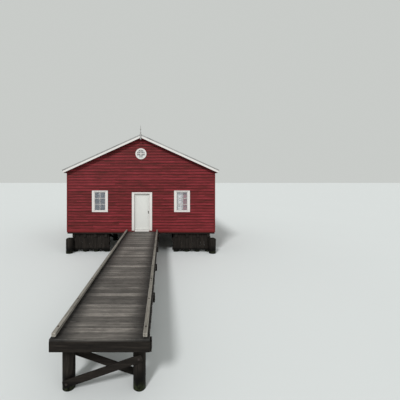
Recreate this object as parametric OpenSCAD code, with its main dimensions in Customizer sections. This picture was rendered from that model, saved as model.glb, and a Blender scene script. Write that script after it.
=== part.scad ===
// Boathouse on timber piles with a boarded jetty.
// +X is to the right of someone facing the door, +Y runs from the jetty into the house, +Z is up.
// The origin is at water level, in the middle of the footprint of the whole object.

/* [House] */
// Width over the wall frames
house_w = 8190; // [6800:10:10000]
// Length over the wall frames
house_l = 9600; // [7600:10:12000]
// Wall height from the floor to the underside of the rafters
wall_h = 3263; // [2700:1:4000]
// Thickness of the wall frames
wall_t = 110; // [90:1:150]
// Thickness of the cladding zone outside the frames
clad_t = 25; // [18:1:35]

/* [Levels] */
// Floor surface above the water
floor_z = 1250; // [1000:10:1600]
// How far the jetty deck lies below the floor
deck_step = 50; // [20:5:120]

/* [Floor] */
// Thickness of the floor boards
floor_t = 30; // [20:1:50]
// Depth of the floor joists
joist_d = 150; // [120:5:200]
// Thickness of the floor joists
joist_t = 75; // [45:1:100]
// Number of floor joists
joist_count = 17; // [11:1:23]
// Depth of the bearers on the piles
bearer_d = 200; // [150:5:250]
// Thickness of the bearers
bearer_t = 150; // [100:5:220]

/* [Piles] */
// Diameter of the house piles
pile_dia = 320; // [240:5:360]
// Rows of house piles from front to back
pile_rows = 4; // [3:1:5]
// Distance from the end walls to the first and last row
pile_row_inset = 400; // [330:5:600]
// Distance from the side frames to the outer line of piles
pile_line_inset = 330; // [250:5:420]
// Spacing of the four pile lines on each side
pile_line_pitch = 600; // [500:10:680]
// Diameter of the fender piles at the front corners
fender_dia = 400; // [320:5:440]
// How far the tops of the fender piles lie below the bearers
fender_drop = 20; // [10:5:200]
// Distance of the fender piles outside the outer line of piles
fender_offset = 200; // [150:5:260]
// Height of the domed top of a fender pile
fender_dome = 90; // [50:5:140]

/* [Braces] */
// Thickness of the brace planks
brace_t = 40; // [30:1:60]
// Depth of the brace planks
brace_d = 140; // [100:5:180]
// Height of the lowest end of a brace above the water
brace_low = 150; // [110:5:260]
// Thickness of the boarded screens under the front wall
screen_t = 40; // [30:1:60]
// Height of the foot of the screens above the water
screen_low = 200; // [100:10:300]
// Thickness of the walings on the front piles
waling_t = 60; // [40:1:80]
// Depth of the walings
waling_d = 220; // [150:5:240]
// Distance of the top waling below the pile tops
waling_drop = 60; // [20:5:100]
// Height of the foot of the bottom waling above the water
waling_low = 130; // [50:5:180]

/* [Roof] */
// Roof pitch in degrees
roof_pitch = 24.4; // [20:0.1:32]
// Overhang of the roof sheets beyond the side frames
eaves_overhang = 220; // [160:1:300]
// Overhang of the roof beyond the end frames
verge_overhang = 250; // [180:5:400]
// Depth of the corrugated roof sheets
sheet_t = 20; // [18:1:24]
// Depth of the battens under the sheets
batten_d = 40; // [30:1:50]
// Width of the battens
batten_w = 70; // [50:1:90]
// Battens on each slope
batten_rows = 6; // [4:1:8]
// Depth of the rafters, square to the slope
rafter_d = 120; // [100:1:150]
// Thickness of the rafters, ridge beam and collar ties
rafter_t = 45; // [35:1:60]
// Pairs of rafters between the end walls
rafter_pairs = 7; // [5:1:9]
// Depth of the ridge beam
ridge_beam_d = 180; // [160:5:220]
// Height of the collar ties above the floor
collar_h = 3850; // [3700:10:4600]
// Depth of the collar ties
collar_d = 120; // [90:5:150]

/* [Roof trim] */
// Depth of the barge boards
barge_d = 150; // [120:5:200]
// Thickness of the barge boards
barge_t = 28; // [20:1:35]
// Thickness of the sheet metal flashings
flashing_t = 3; // [2:0.5:5]
// Depth of the flashing on the face of the barge boards
flashing_drop = 62; // [40:1:80]
// Width of the flashing on the roof
flashing_w = 110; // [80:5:150]
// Width of each wing of the ridge cap
ridge_wing = 190; // [150:5:240]
// Radius of the roll along the ridge cap
ridge_roll_r = 20; // [15:1:30]
// Thickness of the eaves fascia boards
fascia_t = 25; // [18:1:30]
// How far the eaves fascia hangs below the rafter tails
fascia_drop = 12; // [5:1:30]

/* [Finials] */
// Side of the square finial post
post_w = 60; // [50:1:80]
// How far the post hangs below the barge boards at the peak
post_drop = 115; // [80:5:150]
// Height of the spire above the roof peak
spire_h = 525; // [400:5:700]
// Greatest radius of the spire's collars
spire_r = 36; // [30:1:44]

/* [Windows] */
// Clear glass width
glass_w = 560; // [460:5:680]
// Clear glass height
glass_h = 990; // [800:5:1150]
// Width of the sash stiles and rails
sash_w = 45; // [35:1:55]
// Thickness of a sash
sash_t = 40; // [30:1:45]
// Thickness of the jamb lining of a window
lining_t = 20; // [15:1:25]
// Width of the window casing at the sides, beside the sash
casing_side = 115; // [80:1:130]
// Width of the window casing above and below the sash
casing_head = 55; // [45:1:90]
// How far a casing stands out from the wall frame
casing_t = 45; // [38:1:55]
// Thickness of the glass
glass_t = 6; // [4:1:10]
// Depth of a sash behind the face of its casing
sash_recess = 35; // [25:1:45]
// Height of the window centres above the floor
window_h = 1624; // [1400:1:1800]
// Distance of the end wall windows from the centre line
window_x = 2280; // [1900:10:2600]
// Spacing of the three windows in a side wall
side_window_pitch = 2900; // [2000:10:3200]

/* [Round windows] */
// Outer diameter of the round window frame
round_dia = 610; // [520:5:700]
// Diameter of the round glass
round_glass_dia = 440; // [360:5:480]
// Height of the round window's centre above the floor
round_h = 4263; // [4100:1:4400]

/* [Entrance] */
// Distance of the door and the jetty from the centre line
entry_x = 57; // [0:5:200]
// Width of the door leaf
leaf_w = 820; // [680:5:1000]
// Height of the door leaf
leaf_h = 2000; // [1900:5:2100]
// Thickness of the door leaf
leaf_t = 40; // [35:1:45]
// Gap at the sides and top of the leaf
leaf_gap = 7; // [6:0.5:9]
// Gap between the leaf and the sill
leaf_floor_gap = 10; // [6:1:15]
// Thickness of the door jambs
jamb_t = 35; // [28:1:45]
// Width of the door architraves
architrave_w = 132; // [90:1:160]
// Height of the head architrave
head_architrave_h = 78; // [60:1:120]
// Step between a jamb and its architrave
reveal = 12; // [6:1:16]
// How far the door stops cover the edge of the leaf
stop_cover = 10; // [6:1:14]
// Depth of the door stops
stop_t = 20; // [12:1:24]
// Gap between the leaf and the door stops
stop_gap = 5; // [5:0.5:8]
// Thickness of the sill, which lies on the floor
sill_rise = 30; // [20:1:45]
// How far the sill reaches out over the deck
sill_reach = 60; // [50:1:90]
// Height of the weather bar along the foot of the leaf
bar_h = 60; // [40:1:90]
// How far the weather bar stands out from the leaf
bar_t = 16; // [10:1:22]
// Height of the knobs above the bottom of the leaf
knob_h = 1010; // [900:5:1100]
// Distance of the knobs from the edge of the leaf
knob_inset = 60; // [50:1:80]
// Radius of the knobs
knob_r = 27; // [20:1:30]
// Radius of the hinge barrels
barrel_r = 7; // [6:0.5:9]
// Radius of the hinge pins
pin_r = 4; // [3:0.5:4.5]
// Length of a hinge
hinge_l = 105; // [75:1:125]

/* [Curtains] */
// Depth of the folds of a curtain
curtain_t = 36; // [24:1:50]
// Radius of the curtain rod
rod_r = 9; // [7:0.5:12]

/* [Jetty] */
// Number of bays
jetty_bays = 4; // [3:1:6]
// Length of a bay
bay_l = 2690; // [2100:10:3000]
// Width of the deck
deck_w = 1850; // [1500:10:2200]
// Thickness of the deck planks
deck_t = 45; // [35:1:60]
// Depth of the stringers
stringer_d = 200; // [150:5:220]
// Thickness of the stringers
stringer_t = 75; // [60:1:100]
// Width and depth of the cap beams
cap_w = 200; // [160:5:240]
// How far a cap beam reaches past the deck on each side
cap_reach = 20; // [0:5:250]
// Diameter of the jetty piles
jetty_pile_dia = 260; // [200:5:300]
// Distance of the jetty piles and outer stringers from the middle of the jetty
jetty_line = 700; // [550:5:780]
// Distance of the first and last bents from the ends of the jetty
bent_inset = 450; // [200:10:600]
// Width of the kerbs
kerb_w = 80; // [60:1:120]
// Height of the kerbs
kerb_d = 75; // [60:1:110]
// Height of the blocks under the kerbs
block_d = 35; // [25:1:60]
// Length of the blocks
block_l = 250; // [150:5:400]
// Distance of the kerbs from the edge of the deck
kerb_inset = 45; // [20:1:80]
// Thickness of the board across the end of the jetty
end_board_t = 40; // [25:1:60]

/* [Hidden] */

// Small gaps between layers of the roof, at round piles, and at running hinge parts
seat_gap = 0.2;
run_gap = 0.3;
knuckle_gap = 0.5;
// Half the joint between left and right boards at the peak
peak_gap = 1;
// How far a cut runs past the piece that it goes through
cut = 1;

// Small settings of the joinery
base_drop = 100;
fascia_inset = 66;
brace_drop = 10;
brace_end = 60;
plate_gap = 1;
hinge_end = 180;
hinge_plate_t = 2.4;
hinge_plate_w = 30;
curtain_gap = 8;

// Along the length
jetty_l = jetty_bays * bay_l;
rear_reach = verge_overhang + flashing_t + post_w;
front_y = (jetty_l - house_l - rear_reach) / 2;
rear_y = front_y + house_l;
mid_y = (front_y + rear_y) / 2;
jetty_end_y = front_y - jetty_l;
jetty_head_y = front_y - clad_t;

// Heights
joist_top = floor_z - floor_t;
bearer_top = joist_top - joist_d;
pile_top = bearer_top - bearer_d;
base_z = floor_z - base_drop;
plate_z = floor_z + wall_h;
deck_z = floor_z - deck_step;
stringer_top = deck_z - deck_t;
cap_top = stringer_top - stringer_d;
jetty_pile_top = cap_top - cap_w;

// Roof: v is the depth below the top of the sheets, square to the slope, and u runs down the slope
half_w = house_w / 2;
batten_v = sheet_t + seat_gap;
rafter_v = batten_v + batten_d + seat_gap;
under_v = rafter_v + rafter_d;
wall_top_v = under_v + seat_gap;
flash_v = -seat_gap - flashing_t;
ridge_z = plate_z + half_w * tan(roof_pitch) + wall_top_v / cos(roof_pitch);
eaves_u = (half_w + eaves_overhang) / cos(roof_pitch);
fascia_x = half_w + eaves_overhang - fascia_inset;
function roof_z(x, v) = ridge_z - abs(x) * tan(roof_pitch) - v / cos(roof_pitch);
function plumb(x, v) = [x, roof_z(x, v)];
function along(u, v) = [
    u * cos(roof_pitch) - v * sin(roof_pitch),
    ridge_z - u * sin(roof_pitch) - v * cos(roof_pitch)
];
verge_front = front_y - verge_overhang;
verge_rear = rear_y + verge_overhang;

// Windows: sizes from the glass outwards
sash_size = [glass_w + 2 * sash_w, glass_h + 2 * sash_w];
hole_size = sash_size + 2 * [lining_t, lining_t];
casing_size = sash_size + 2 * [casing_side, casing_head];
window_z = floor_z + window_h;
round_z = floor_z + round_h;
sash_y = sash_recess - casing_t;
front_windows = [-window_x, window_x];
side_windows = [for (i = [-1 : 1]) i * side_window_pitch];

// Door
door_open_w = leaf_w + 2 * leaf_gap;
leaf_z = floor_z + sill_rise + leaf_floor_gap;
door_open_z = leaf_z + leaf_h + leaf_gap;
door_hole_w = door_open_w + 2 * jamb_t;
door_hole_z = door_open_z + jamb_t;
leaf_x = entry_x - leaf_w / 2;
leaf_y = front_y + wall_t - leaf_t;
hinge_x = leaf_x - leaf_gap / 2;
hinge_y = front_y + wall_t + barrel_r + plate_gap;
hinge_offsets = [hinge_end, leaf_h / 2, leaf_h - hinge_end];

// Pile lines across the house and rows along it
outer_line = half_w - pile_line_inset;
side_lines = [for (i = [0 : 3]) outer_line - i * pile_line_pitch];
pile_lines = concat([for (x = side_lines) -x], [0], side_lines);
row_pitch = (house_l - 2 * pile_row_inset) / (pile_rows - 1);
pile_row_ys = [for (i = [0 : pile_rows - 1]) front_y + pile_row_inset + i * row_pitch];
waling_y = front_y + pile_row_inset - pile_dia / 2 - seat_gap - waling_t;
fender_x = outer_line + fender_offset;
fender_h = pile_top - fender_drop;

// Jetty bents: one near each end and one at each bay line between
bent_ys = concat(
    [jetty_head_y - bent_inset],
    [for (i = [1 : jetty_bays - 1]) front_y - i * bay_l],
    [jetty_end_y + bent_inset]
);

$fn = 48;

// ---- helpers ----

// Extrudes a shape drawn in X and Z from y0 to y1
module span_y(y0, y1) {
    translate([0, y1, 0])
        rotate([90, 0, 0])
            linear_extrude(y1 - y0)
                children();
}

// A box from one corner to the opposite one
module block(low, high) {
    translate(low)
        cube(high - low);
}

// Both sides of the house, from the right-hand one
module both_sides() {
    children();
    mirror([1, 0, 0])
        children();
}

// Both ends of the roof, from the front one
module both_ends() {
    children();
    translate([0, 2 * mid_y, 0])
        mirror([0, 1, 0])
            children();
}

// One child at each window
module at_windows() {
    for (end = [0, 1], x = front_windows)
        translate([0, end * 2 * mid_y, 0])
            mirror([0, end, 0])
                translate([x, front_y, window_z])
                    children();
    for (side = [-1, 1], x = side_windows)
        translate([side * half_w, mid_y, 0])
            rotate(side * 90)
                translate([x, 0, window_z])
                    children();
}

// A plate of width w and height h centred on the origin, from y0 to y1
module plate(size, y0, y1) {
    translate([-size[0] / 2, y0, -size[1] / 2])
        cube([size[0], y1 - y0, size[1]]);
}

// A plank in an X-Z plane between two points, d deep and t thick
module plank(a, b, d, t) {
    run = norm(b - a);
    lean = atan2(b[1] - a[1], b[0] - a[0]);
    translate([a[0], 0, a[1]])
        rotate([0, -lean, 0])
            translate([0, 0, -d / 2])
                cube([run, t, d]);
}

// ---- piles and floor ----

module pile(dia, h) {
    cylinder(d = dia, h = h);
}

module house_piles() {
    color("#3a332d")
        for (x = pile_lines, y = pile_row_ys)
            translate([x, y, 0])
                pile(pile_dia, pile_top);
}

// Stout piles with domed tops that guard the front corners
module corner_fender_piles() {
    steps = 8;
    rim = fender_h - fender_dome;
    profile = concat(
        [[0, 0], [fender_dia / 2, 0]],
        [for (i = [0 : steps - 1])
            [fender_dia / 2 * cos(90 * i / steps), rim + fender_dome * sin(90 * i / steps)]],
        [[0, fender_h]]
    );
    color("#40352c")
        for (side = [-1, 1])
            translate([side * fender_x, waling_y - seat_gap - fender_dia / 2, 0])
                rotate_extrude()
                    polygon(profile);
}

// A diagonal plank behind each row of piles on each side, and two walings on the front row
module pile_braces() {
    inner = side_lines[3] - pile_dia / 2 - brace_end;
    waling_lows = [pile_top - waling_drop - waling_d, waling_low];
    color("#453c34")
        for (side = [-1, 1]) {
            for (y = pile_row_ys)
                translate([0, y + pile_dia / 2 + seat_gap, 0])
                    plank(
                        [side * (outer_line + brace_end), pile_top - brace_d / 2 - brace_drop],
                        [side * (side_lines[3] - brace_end), brace_low],
                        brace_d,
                        brace_t
                    );
            for (z = waling_lows)
                block(
                    [side > 0 ? inner : -half_w, waling_y, z],
                    [side > 0 ? half_w : -inner, waling_y + waling_t, z + waling_d]
                );
        }
}

// Close-boarded screens on the walings, from the innermost piles to the fender piles, notched
// round the bearers
module front_screens() {
    fender_gap = 10;
    notch_drop = 20;
    notch_half = bearer_t / 2 + 6;
    inner = side_lines[3] - pile_dia / 2;
    outer = fender_x - fender_dia / 2 - fender_gap;
    color("#2f2924")
        both_sides()
            difference() {
                block([inner, waling_y - screen_t, screen_low], [outer, waling_y, bearer_top]);
                for (x = side_lines)
                    block(
                        [x - notch_half, waling_y - screen_t - cut, pile_top - notch_drop],
                        [x + notch_half, waling_y + cut, bearer_top + cut]
                    );
            }
}

// Long bearers on the pile heads
module floor_bearers() {
    color("#4a4038")
        for (x = pile_lines)
            block(
                [x - bearer_t / 2, front_y + joist_t, pile_top],
                [x + bearer_t / 2, rear_y - joist_t, bearer_top]
            );
}

module floor_joists() {
    pitch = (house_l - joist_t) / (joist_count - 1);
    color("#6b5c4c")
        for (i = [0 : joist_count - 1])
            block(
                [-half_w, front_y + i * pitch, bearer_top],
                [half_w, front_y + i * pitch + joist_t, joist_top]
            );
}

module floor_boards() {
    color("#8a7358")
        block([-half_w, front_y, joist_top], [half_w, rear_y, floor_z]);
}

// ---- walls ----

// A piece of the front wall from x0 to x1, with holes for windows at the given places
module wall_panel(x0, x1, z0, z1, windows) {
    difference() {
        block([x0, front_y, z0], [x1, front_y + wall_t, z1]);
        for (x = windows)
            translate([x, front_y, window_z])
                plate(hole_size, -cut, wall_t + cut);
    }
}

// The part of an end wall above the plate line, up to the battens
module gable_shape() {
    polygon([
        [-half_w, plate_z],
        [half_w, plate_z],
        plumb(half_w, rafter_v),
        plumb(0, rafter_v),
        plumb(-half_w, rafter_v)
    ]);
}

module round_hole() {
    translate([0, round_z])
        circle(d = round_glass_dia + 2 * lining_t);
}

module front_wall_left() {
    color("#6e2427")
        wall_panel(-half_w, entry_x - door_hole_w / 2, floor_z, plate_z, [-window_x]);
}

module front_wall_right() {
    color("#6e2427")
        wall_panel(entry_x + door_hole_w / 2, half_w, floor_z, plate_z, [window_x]);
}

module front_wall_over_door() {
    color("#6e2427")
        wall_panel(entry_x - door_hole_w / 2, entry_x + door_hole_w / 2, door_hole_z, plate_z, []);
}

module front_gable() {
    color("#6e2427")
        span_y(front_y, front_y + wall_t)
            difference() {
                gable_shape();
                round_hole();
            }
}

module rear_wall() {
    color("#6e2427")
        span_y(rear_y - wall_t, rear_y)
            difference() {
                union() {
                    gable_shape();
                    translate([-half_w, floor_z])
                        square([house_w, wall_h]);
                }
                round_hole();
                for (x = front_windows)
                    translate([x, window_z])
                        square(hole_size, center = true);
            }
}

// A side wall with its top cut to the slope of the rafters
module side_wall(side) {
    inner_x = half_w - wall_t;
    difference() {
        span_y(front_y + wall_t, rear_y - wall_t)
            polygon([
                [side * inner_x, floor_z],
                [side * half_w, floor_z],
                plumb(side * half_w, wall_top_v),
                plumb(side * inner_x, wall_top_v)
            ]);
        for (y = side_windows)
            translate([side * (half_w - wall_t / 2), mid_y + y, window_z])
                cube([wall_t + 2 * cut, hole_size[0], hole_size[1]], center = true);
    }
}

module left_wall() {
    color("#6e2427")
        side_wall(-1);
}

module right_wall() {
    color("#6e2427")
        side_wall(1);
}

// Painted boards round the foot of the walls: the end ones cover the ends of the side ones
module wall_base_boards() {
    corner_gap = 1;
    reach = half_w + clad_t;
    color("#7d2628") {
        for (y = [front_y - clad_t, rear_y])
            block([-reach, y, base_z], [reach, y + clad_t, floor_z]);
        for (x = [-reach, half_w])
            block(
                [x, front_y + corner_gap, base_z],
                [x + clad_t, rear_y - corner_gap, floor_z]
            );
    }
}

// Corner boards, an L round each corner of the house
module corner_boards() {
    face = 45;
    proud = 4;
    top_gap = 4;
    out = clad_t + proud;
    top = roof_z(half_w + out, rafter_v) - top_gap;
    color("#6a2224")
        both_ends()
            both_sides()
                translate([half_w, front_y, floor_z])
                    linear_extrude(top - floor_z)
                        polygon([
                            [-face, -out], [out, -out], [out, face],
                            [0, face], [0, 0], [-face, 0]
                        ]);
}

// ---- windows ----

// Outer casing and the lining that runs through the wall
module window_casing() {
    difference() {
        union() {
            plate(casing_size, -casing_t, 0);
            plate(hole_size, -casing_t, wall_t);
        }
        plate(sash_size, -casing_t - cut, wall_t + cut);
    }
}

module window_sash() {
    difference() {
        plate(sash_size, sash_y, sash_y + sash_t);
        plate([glass_w, glass_h], sash_y - cut, sash_y + sash_t + cut);
    }
}

module window_pane() {
    middle = sash_y + sash_t / 2;
    plate([glass_w, glass_h], middle - glass_t / 2, middle + glass_t / 2);
}

module window_casings() {
    color("#e2dfd8")
        at_windows()
            window_casing();
}

module window_sashes() {
    color("#d9d7d1")
        at_windows()
            window_sash();
}

module window_glass() {
    color("#8d949c", 0.35)
        at_windows()
            window_pane();
}

// A ring on the face of the gable with a sleeve through the wall
module round_window_frame() {
    $fn = 96;
    rotate([90, 0, 0])
        difference() {
            union() {
                cylinder(d = round_dia, h = casing_t);
                translate([0, 0, -wall_t])
                    cylinder(d = round_glass_dia + 2 * lining_t, h = wall_t + casing_t);
            }
            translate([0, 0, -wall_t - cut])
                cylinder(d = round_glass_dia, h = wall_t + casing_t + 2 * cut);
        }
}

module round_window_frames() {
    color("#e2dfd8")
        both_ends()
            translate([0, front_y, round_z])
                round_window_frame();
}

module round_window_glass() {
    $fn = 96;
    color("#c9cdd0", 0.5)
        both_ends()
            translate([0, front_y + glass_t / 2, round_z])
                rotate([90, 0, 0])
                    cylinder(d = round_glass_dia, h = glass_t);
}

// ---- door ----

// Plan of the left jamb: lining, stop and architrave, with the opening's edge at x = 0
module jamb_plan() {
    stop_end = wall_t - leaf_t - stop_gap;
    polygon([
        [-jamb_t, 0], [-jamb_t, wall_t], [0, wall_t],
        [0, stop_end], [leaf_gap + stop_cover, stop_end],
        [leaf_gap + stop_cover, stop_end - stop_t], [0, stop_end - stop_t],
        [0, 0], [-reveal, 0], [-reveal, -casing_t],
        [-reveal - architrave_w, -casing_t], [-reveal - architrave_w, 0]
    ]);
}

module door_jambs() {
    color("#e2dfd8")
        for (side = [0, 1])
            translate([entry_x, front_y, floor_z])
                mirror([side, 0, 0])
                    translate([-door_open_w / 2, 0, 0])
                        linear_extrude(door_open_z - floor_z)
                            jamb_plan();
}

// The head has the jambs' section and lies across their tops
module door_head() {
    stop_end = wall_t - leaf_t - stop_gap;
    half_stop = door_open_w / 2 - leaf_gap - stop_cover;
    half_trim = door_open_w / 2 + reveal + architrave_w;
    color("#e2dfd8")
        translate([entry_x, front_y, door_open_z]) {
            block([-door_hole_w / 2, 0, 0], [door_hole_w / 2, wall_t, jamb_t]);
            block(
                [-half_stop, stop_end - stop_t, -leaf_gap - stop_cover],
                [half_stop, stop_end, 0]
            );
            block([-half_trim, -casing_t, 0], [half_trim, 0, head_architrave_h]);
        }
}

// A tread on the floor between the jambs and a riser that stands on the deck
module door_sill() {
    half = door_open_w / 2 - leaf_gap - stop_cover;
    color("#d6d3cb")
        translate([entry_x, front_y, 0]) {
            block([-half, -sill_reach, floor_z], [half, wall_t, floor_z + sill_rise]);
            block([-half, -sill_reach, deck_z], [half, -clad_t, floor_z]);
        }
}

// A flat leaf with a weather bar along its foot
module door_leaf() {
    stop_clearance = 12;
    bar_end = stop_cover + stop_clearance;
    color("#dcdad4")
        translate([leaf_x, leaf_y, leaf_z]) {
            block([0, 0, 0], [leaf_w, leaf_t, leaf_h]);
            block([bar_end, -bar_t, 0], [leaf_w - bar_end, 0, bar_h]);
        }
}

// A turned knob on a rose, standing on z = 0
module knob() {
    rose_r = knob_r * 1.05;
    rose_t = 4;
    neck_r = knob_r * 0.4;
    neck_z = 8;
    ball_z = 33;
    flatness = 0.8;
    steps = 10;
    start = 62;
    arc = [for (i = [0 : steps])
        let (a = -start + i * (90 + start) / steps)
        [knob_r * cos(a), ball_z + flatness * knob_r * sin(a)]];
    rotate_extrude()
        polygon(concat(
            [[0, 0], [rose_r, 0], [rose_r, rose_t], [neck_r, neck_z], [neck_r, arc[0][1]]],
            [for (p = arc) [max(p[0], 0), p[1]]],
            [[0, arc[steps][1]]]
        ));
}

module door_knobs() {
    color("#4b4640")
        translate([leaf_x + leaf_w - knob_inset, leaf_y, leaf_z + knob_h]) {
            rotate([90, 0, 0])
                knob();
            translate([0, leaf_t, 0])
                rotate([-90, 0, 0])
                    knob();
        }
}

// Heights of the knuckles of a hinge: the fixed ones are the first and last thirds
knuckle_l = hinge_l / 3;

module door_hinge_pins() {
    color("#7c7a76")
        for (z = hinge_offsets)
            translate([hinge_x, hinge_y, leaf_z + z - hinge_l / 2]) {
                cylinder(r = pin_r, h = hinge_l);
                for (third = [0, 2])
                    translate([0, 0, third * knuckle_l])
                        hinge_part(-leaf_gap / 2, knuckle_l, 0);
                block(
                    [-leaf_gap / 2, -barrel_r - plate_gap - hinge_plate_w, 0],
                    [-leaf_gap / 2 + hinge_plate_t, -barrel_r - plate_gap, hinge_l]
                );
            }
}

module door_hinge_knuckles() {
    color("#7c7a76")
        for (z = hinge_offsets)
            translate([hinge_x, hinge_y, leaf_z + z - hinge_l / 2]) {
                translate([0, 0, knuckle_l + knuckle_gap])
                    hinge_part(
                        leaf_gap / 2 - hinge_plate_t,
                        knuckle_l - 2 * knuckle_gap,
                        pin_r + run_gap
                    );
                block(
                    [leaf_gap / 2 - hinge_plate_t, -barrel_r - plate_gap - hinge_plate_w, 0],
                    [leaf_gap / 2, -barrel_r - plate_gap, hinge_l]
                );
            }
}

// A knuckle of height h with a tongue to its plate, bored if bore_r is more than 0
module hinge_part(tongue_x, h, bore_r) {
    difference() {
        union() {
            cylinder(r = barrel_r, h = h);
            block([tongue_x, -barrel_r - plate_gap, 0], [tongue_x + hinge_plate_t, 0, h]);
        }
        if (bore_r > 0)
            translate([0, 0, -cut])
                cylinder(r = bore_r, h = h + 2 * cut);
    }
}

// ---- curtains behind the right-hand front window ----

rod_off = 50;
rod_rise = 75;
rod_reach = 100;
rod_y = front_y + wall_t + rod_off;
rod_z = window_z + glass_h / 2 + rod_rise;
rod_half = glass_w / 2 + rod_reach;

module curtain_rod() {
    bracket_inset = 30;
    bracket_half_w = 6;
    bracket_half_h = 14;
    color("#b9b4a9")
        translate([window_x, 0, rod_z]) {
            translate([-rod_half, rod_y, 0])
                rotate([0, 90, 0])
                    cylinder(r = rod_r, h = 2 * rod_half);
            for (side = [-1, 1])
                translate([side * (rod_half - bracket_inset), 0, 0])
                    block(
                        [-bracket_half_w, front_y + wall_t, -bracket_half_h],
                        [bracket_half_w, rod_y, bracket_half_h]
                    );
        }
}

// A white curtain over most of the window and a red one drawn to the right
module window_curtains() {
    drop = 70;
    end_gap = 50;
    drawn_share = 0.14;
    top = rod_z - rod_r - seat_gap;
    bottom = window_z - glass_h / 2 - drop;
    split = window_x + glass_w * drawn_share;
    left = window_x - rod_half + end_gap;
    right = window_x + rod_half - end_gap;
    y0 = rod_y - curtain_t / 2;
    color("#e4e2dc")
        block([left, y0, bottom], [split - curtain_gap / 2, y0 + curtain_t, top]);
    color("#7d4a44")
        block([split + curtain_gap / 2, y0, bottom], [right, y0 + curtain_t, top]);
}

// ---- roof ----

module ridge_beam() {
    top = roof_z(rafter_t / 2, rafter_v);
    color("#9a8262")
        block(
            [-rafter_t / 2, front_y + wall_t, top - ridge_beam_d],
            [rafter_t / 2, rear_y - wall_t, top]
        );
}

rafter_pitch = house_l / (rafter_pairs + 1);
rafter_ys = [for (i = [1 : rafter_pairs]) front_y + i * rafter_pitch];

module rafters() {
    tail_x = fascia_x - fascia_t;
    color("#9a8262")
        both_sides()
            for (y = rafter_ys)
                span_y(y - rafter_t / 2, y + rafter_t / 2)
                    polygon([
                        plumb(rafter_t / 2, rafter_v),
                        plumb(tail_x, rafter_v),
                        plumb(tail_x, under_v),
                        plumb(rafter_t / 2, under_v)
                    ]);
}

// Blocks that close the eaves between the rafters, on the side walls
module eaves_blocks() {
    block_w = 45;
    starts = concat([front_y + wall_t], [for (y = rafter_ys) y + rafter_t / 2]);
    ends = concat([for (y = rafter_ys) y - rafter_t / 2], [rear_y - wall_t]);
    color("#6e2427")
        both_sides()
            for (i = [0 : rafter_pairs])
                span_y(starts[i], ends[i])
                    polygon([
                        plumb(half_w - block_w, rafter_v),
                        plumb(half_w, rafter_v),
                        plumb(half_w, under_v),
                        plumb(half_w - block_w, under_v)
                    ]);
}

// Ties across each pair of rafters, bolted to their near faces
module collar_ties() {
    end_gap = 8;
    z = floor_z + collar_h;
    end_v = rafter_v + end_gap;
    low_x = (ridge_z - end_v / cos(roof_pitch) - z) / tan(roof_pitch);
    high_x = low_x - collar_d / tan(roof_pitch);
    color("#9a8262")
        for (y = rafter_ys)
            span_y(y - 1.5 * rafter_t, y - rafter_t / 2)
                polygon([
                    [-low_x, z], [low_x, z],
                    [high_x, z + collar_d], [-high_x, z + collar_d]
                ]);
}

module roof_battens() {
    peak_inset = 60;
    fascia_gap = 10;
    first = batten_w / 2 + peak_inset;
    last = (fascia_x - fascia_t) / cos(roof_pitch) - batten_w / 2 - fascia_gap;
    color("#8f7a5f")
        both_sides()
            for (i = [0 : batten_rows - 1])
                let (u = first + i * (last - first) / (batten_rows - 1))
                    span_y(verge_front + barge_t, verge_rear - barge_t)
                        polygon([
                            along(u - batten_w / 2, batten_v),
                            along(u + batten_w / 2, batten_v),
                            along(u + batten_w / 2, batten_v + batten_d),
                            along(u - batten_w / 2, batten_v + batten_d)
                        ]);
}

module roof_sheet() {
    span_y(verge_front, verge_rear)
        polygon([
            plumb(0, 0), along(eaves_u, 0), along(eaves_u, sheet_t), plumb(0, sheet_t)
        ]);
}

module roof_sheet_left() {
    color("#a9aba9")
        mirror([1, 0, 0])
            roof_sheet();
}

module roof_sheet_right() {
    color("#a9aba9")
        roof_sheet();
}

// Folded cap with a roll along the top
module ridge_cap() {
    roll_sink = 1;
    wing = [along(ridge_wing, -seat_gap), along(ridge_wing, flash_v)];
    color("#a2a4a2")
        span_y(verge_front, verge_rear) {
            polygon(concat(
                [plumb(0, -seat_gap)], wing, [plumb(0, flash_v)],
                [for (i = [1 : -1 : 0]) [-wing[i][0], wing[i][1]]]
            ));
            translate([0, ridge_z + ridge_roll_r + roll_sink])
                circle(r = ridge_roll_r);
        }
}

module barge_boards() {
    end_gap = 8;
    low_u = eaves_u - end_gap;
    color("#e2dfd8")
        both_ends()
            both_sides()
                span_y(verge_front, verge_front + barge_t)
                    polygon([
                        plumb(peak_gap, batten_v), along(low_u, batten_v),
                        along(low_u, batten_v + barge_d), plumb(peak_gap, batten_v + barge_d)
                    ]);
}

// Folded metal over the edge of the sheets and the top of the barge boards
module barge_flashings() {
    color("#8f9190")
        both_ends()
            both_sides() {
                span_y(verge_front - flashing_t, verge_front)
                    polygon([
                        plumb(peak_gap, flash_v), along(eaves_u, flash_v),
                        along(eaves_u, flashing_drop), plumb(peak_gap, flashing_drop)
                    ]);
                span_y(verge_front - flashing_t, verge_front + flashing_w)
                    polygon([
                        plumb(ridge_wing, flash_v), along(eaves_u, flash_v),
                        along(eaves_u, -seat_gap), plumb(ridge_wing, -seat_gap)
                    ]);
            }
}

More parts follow.
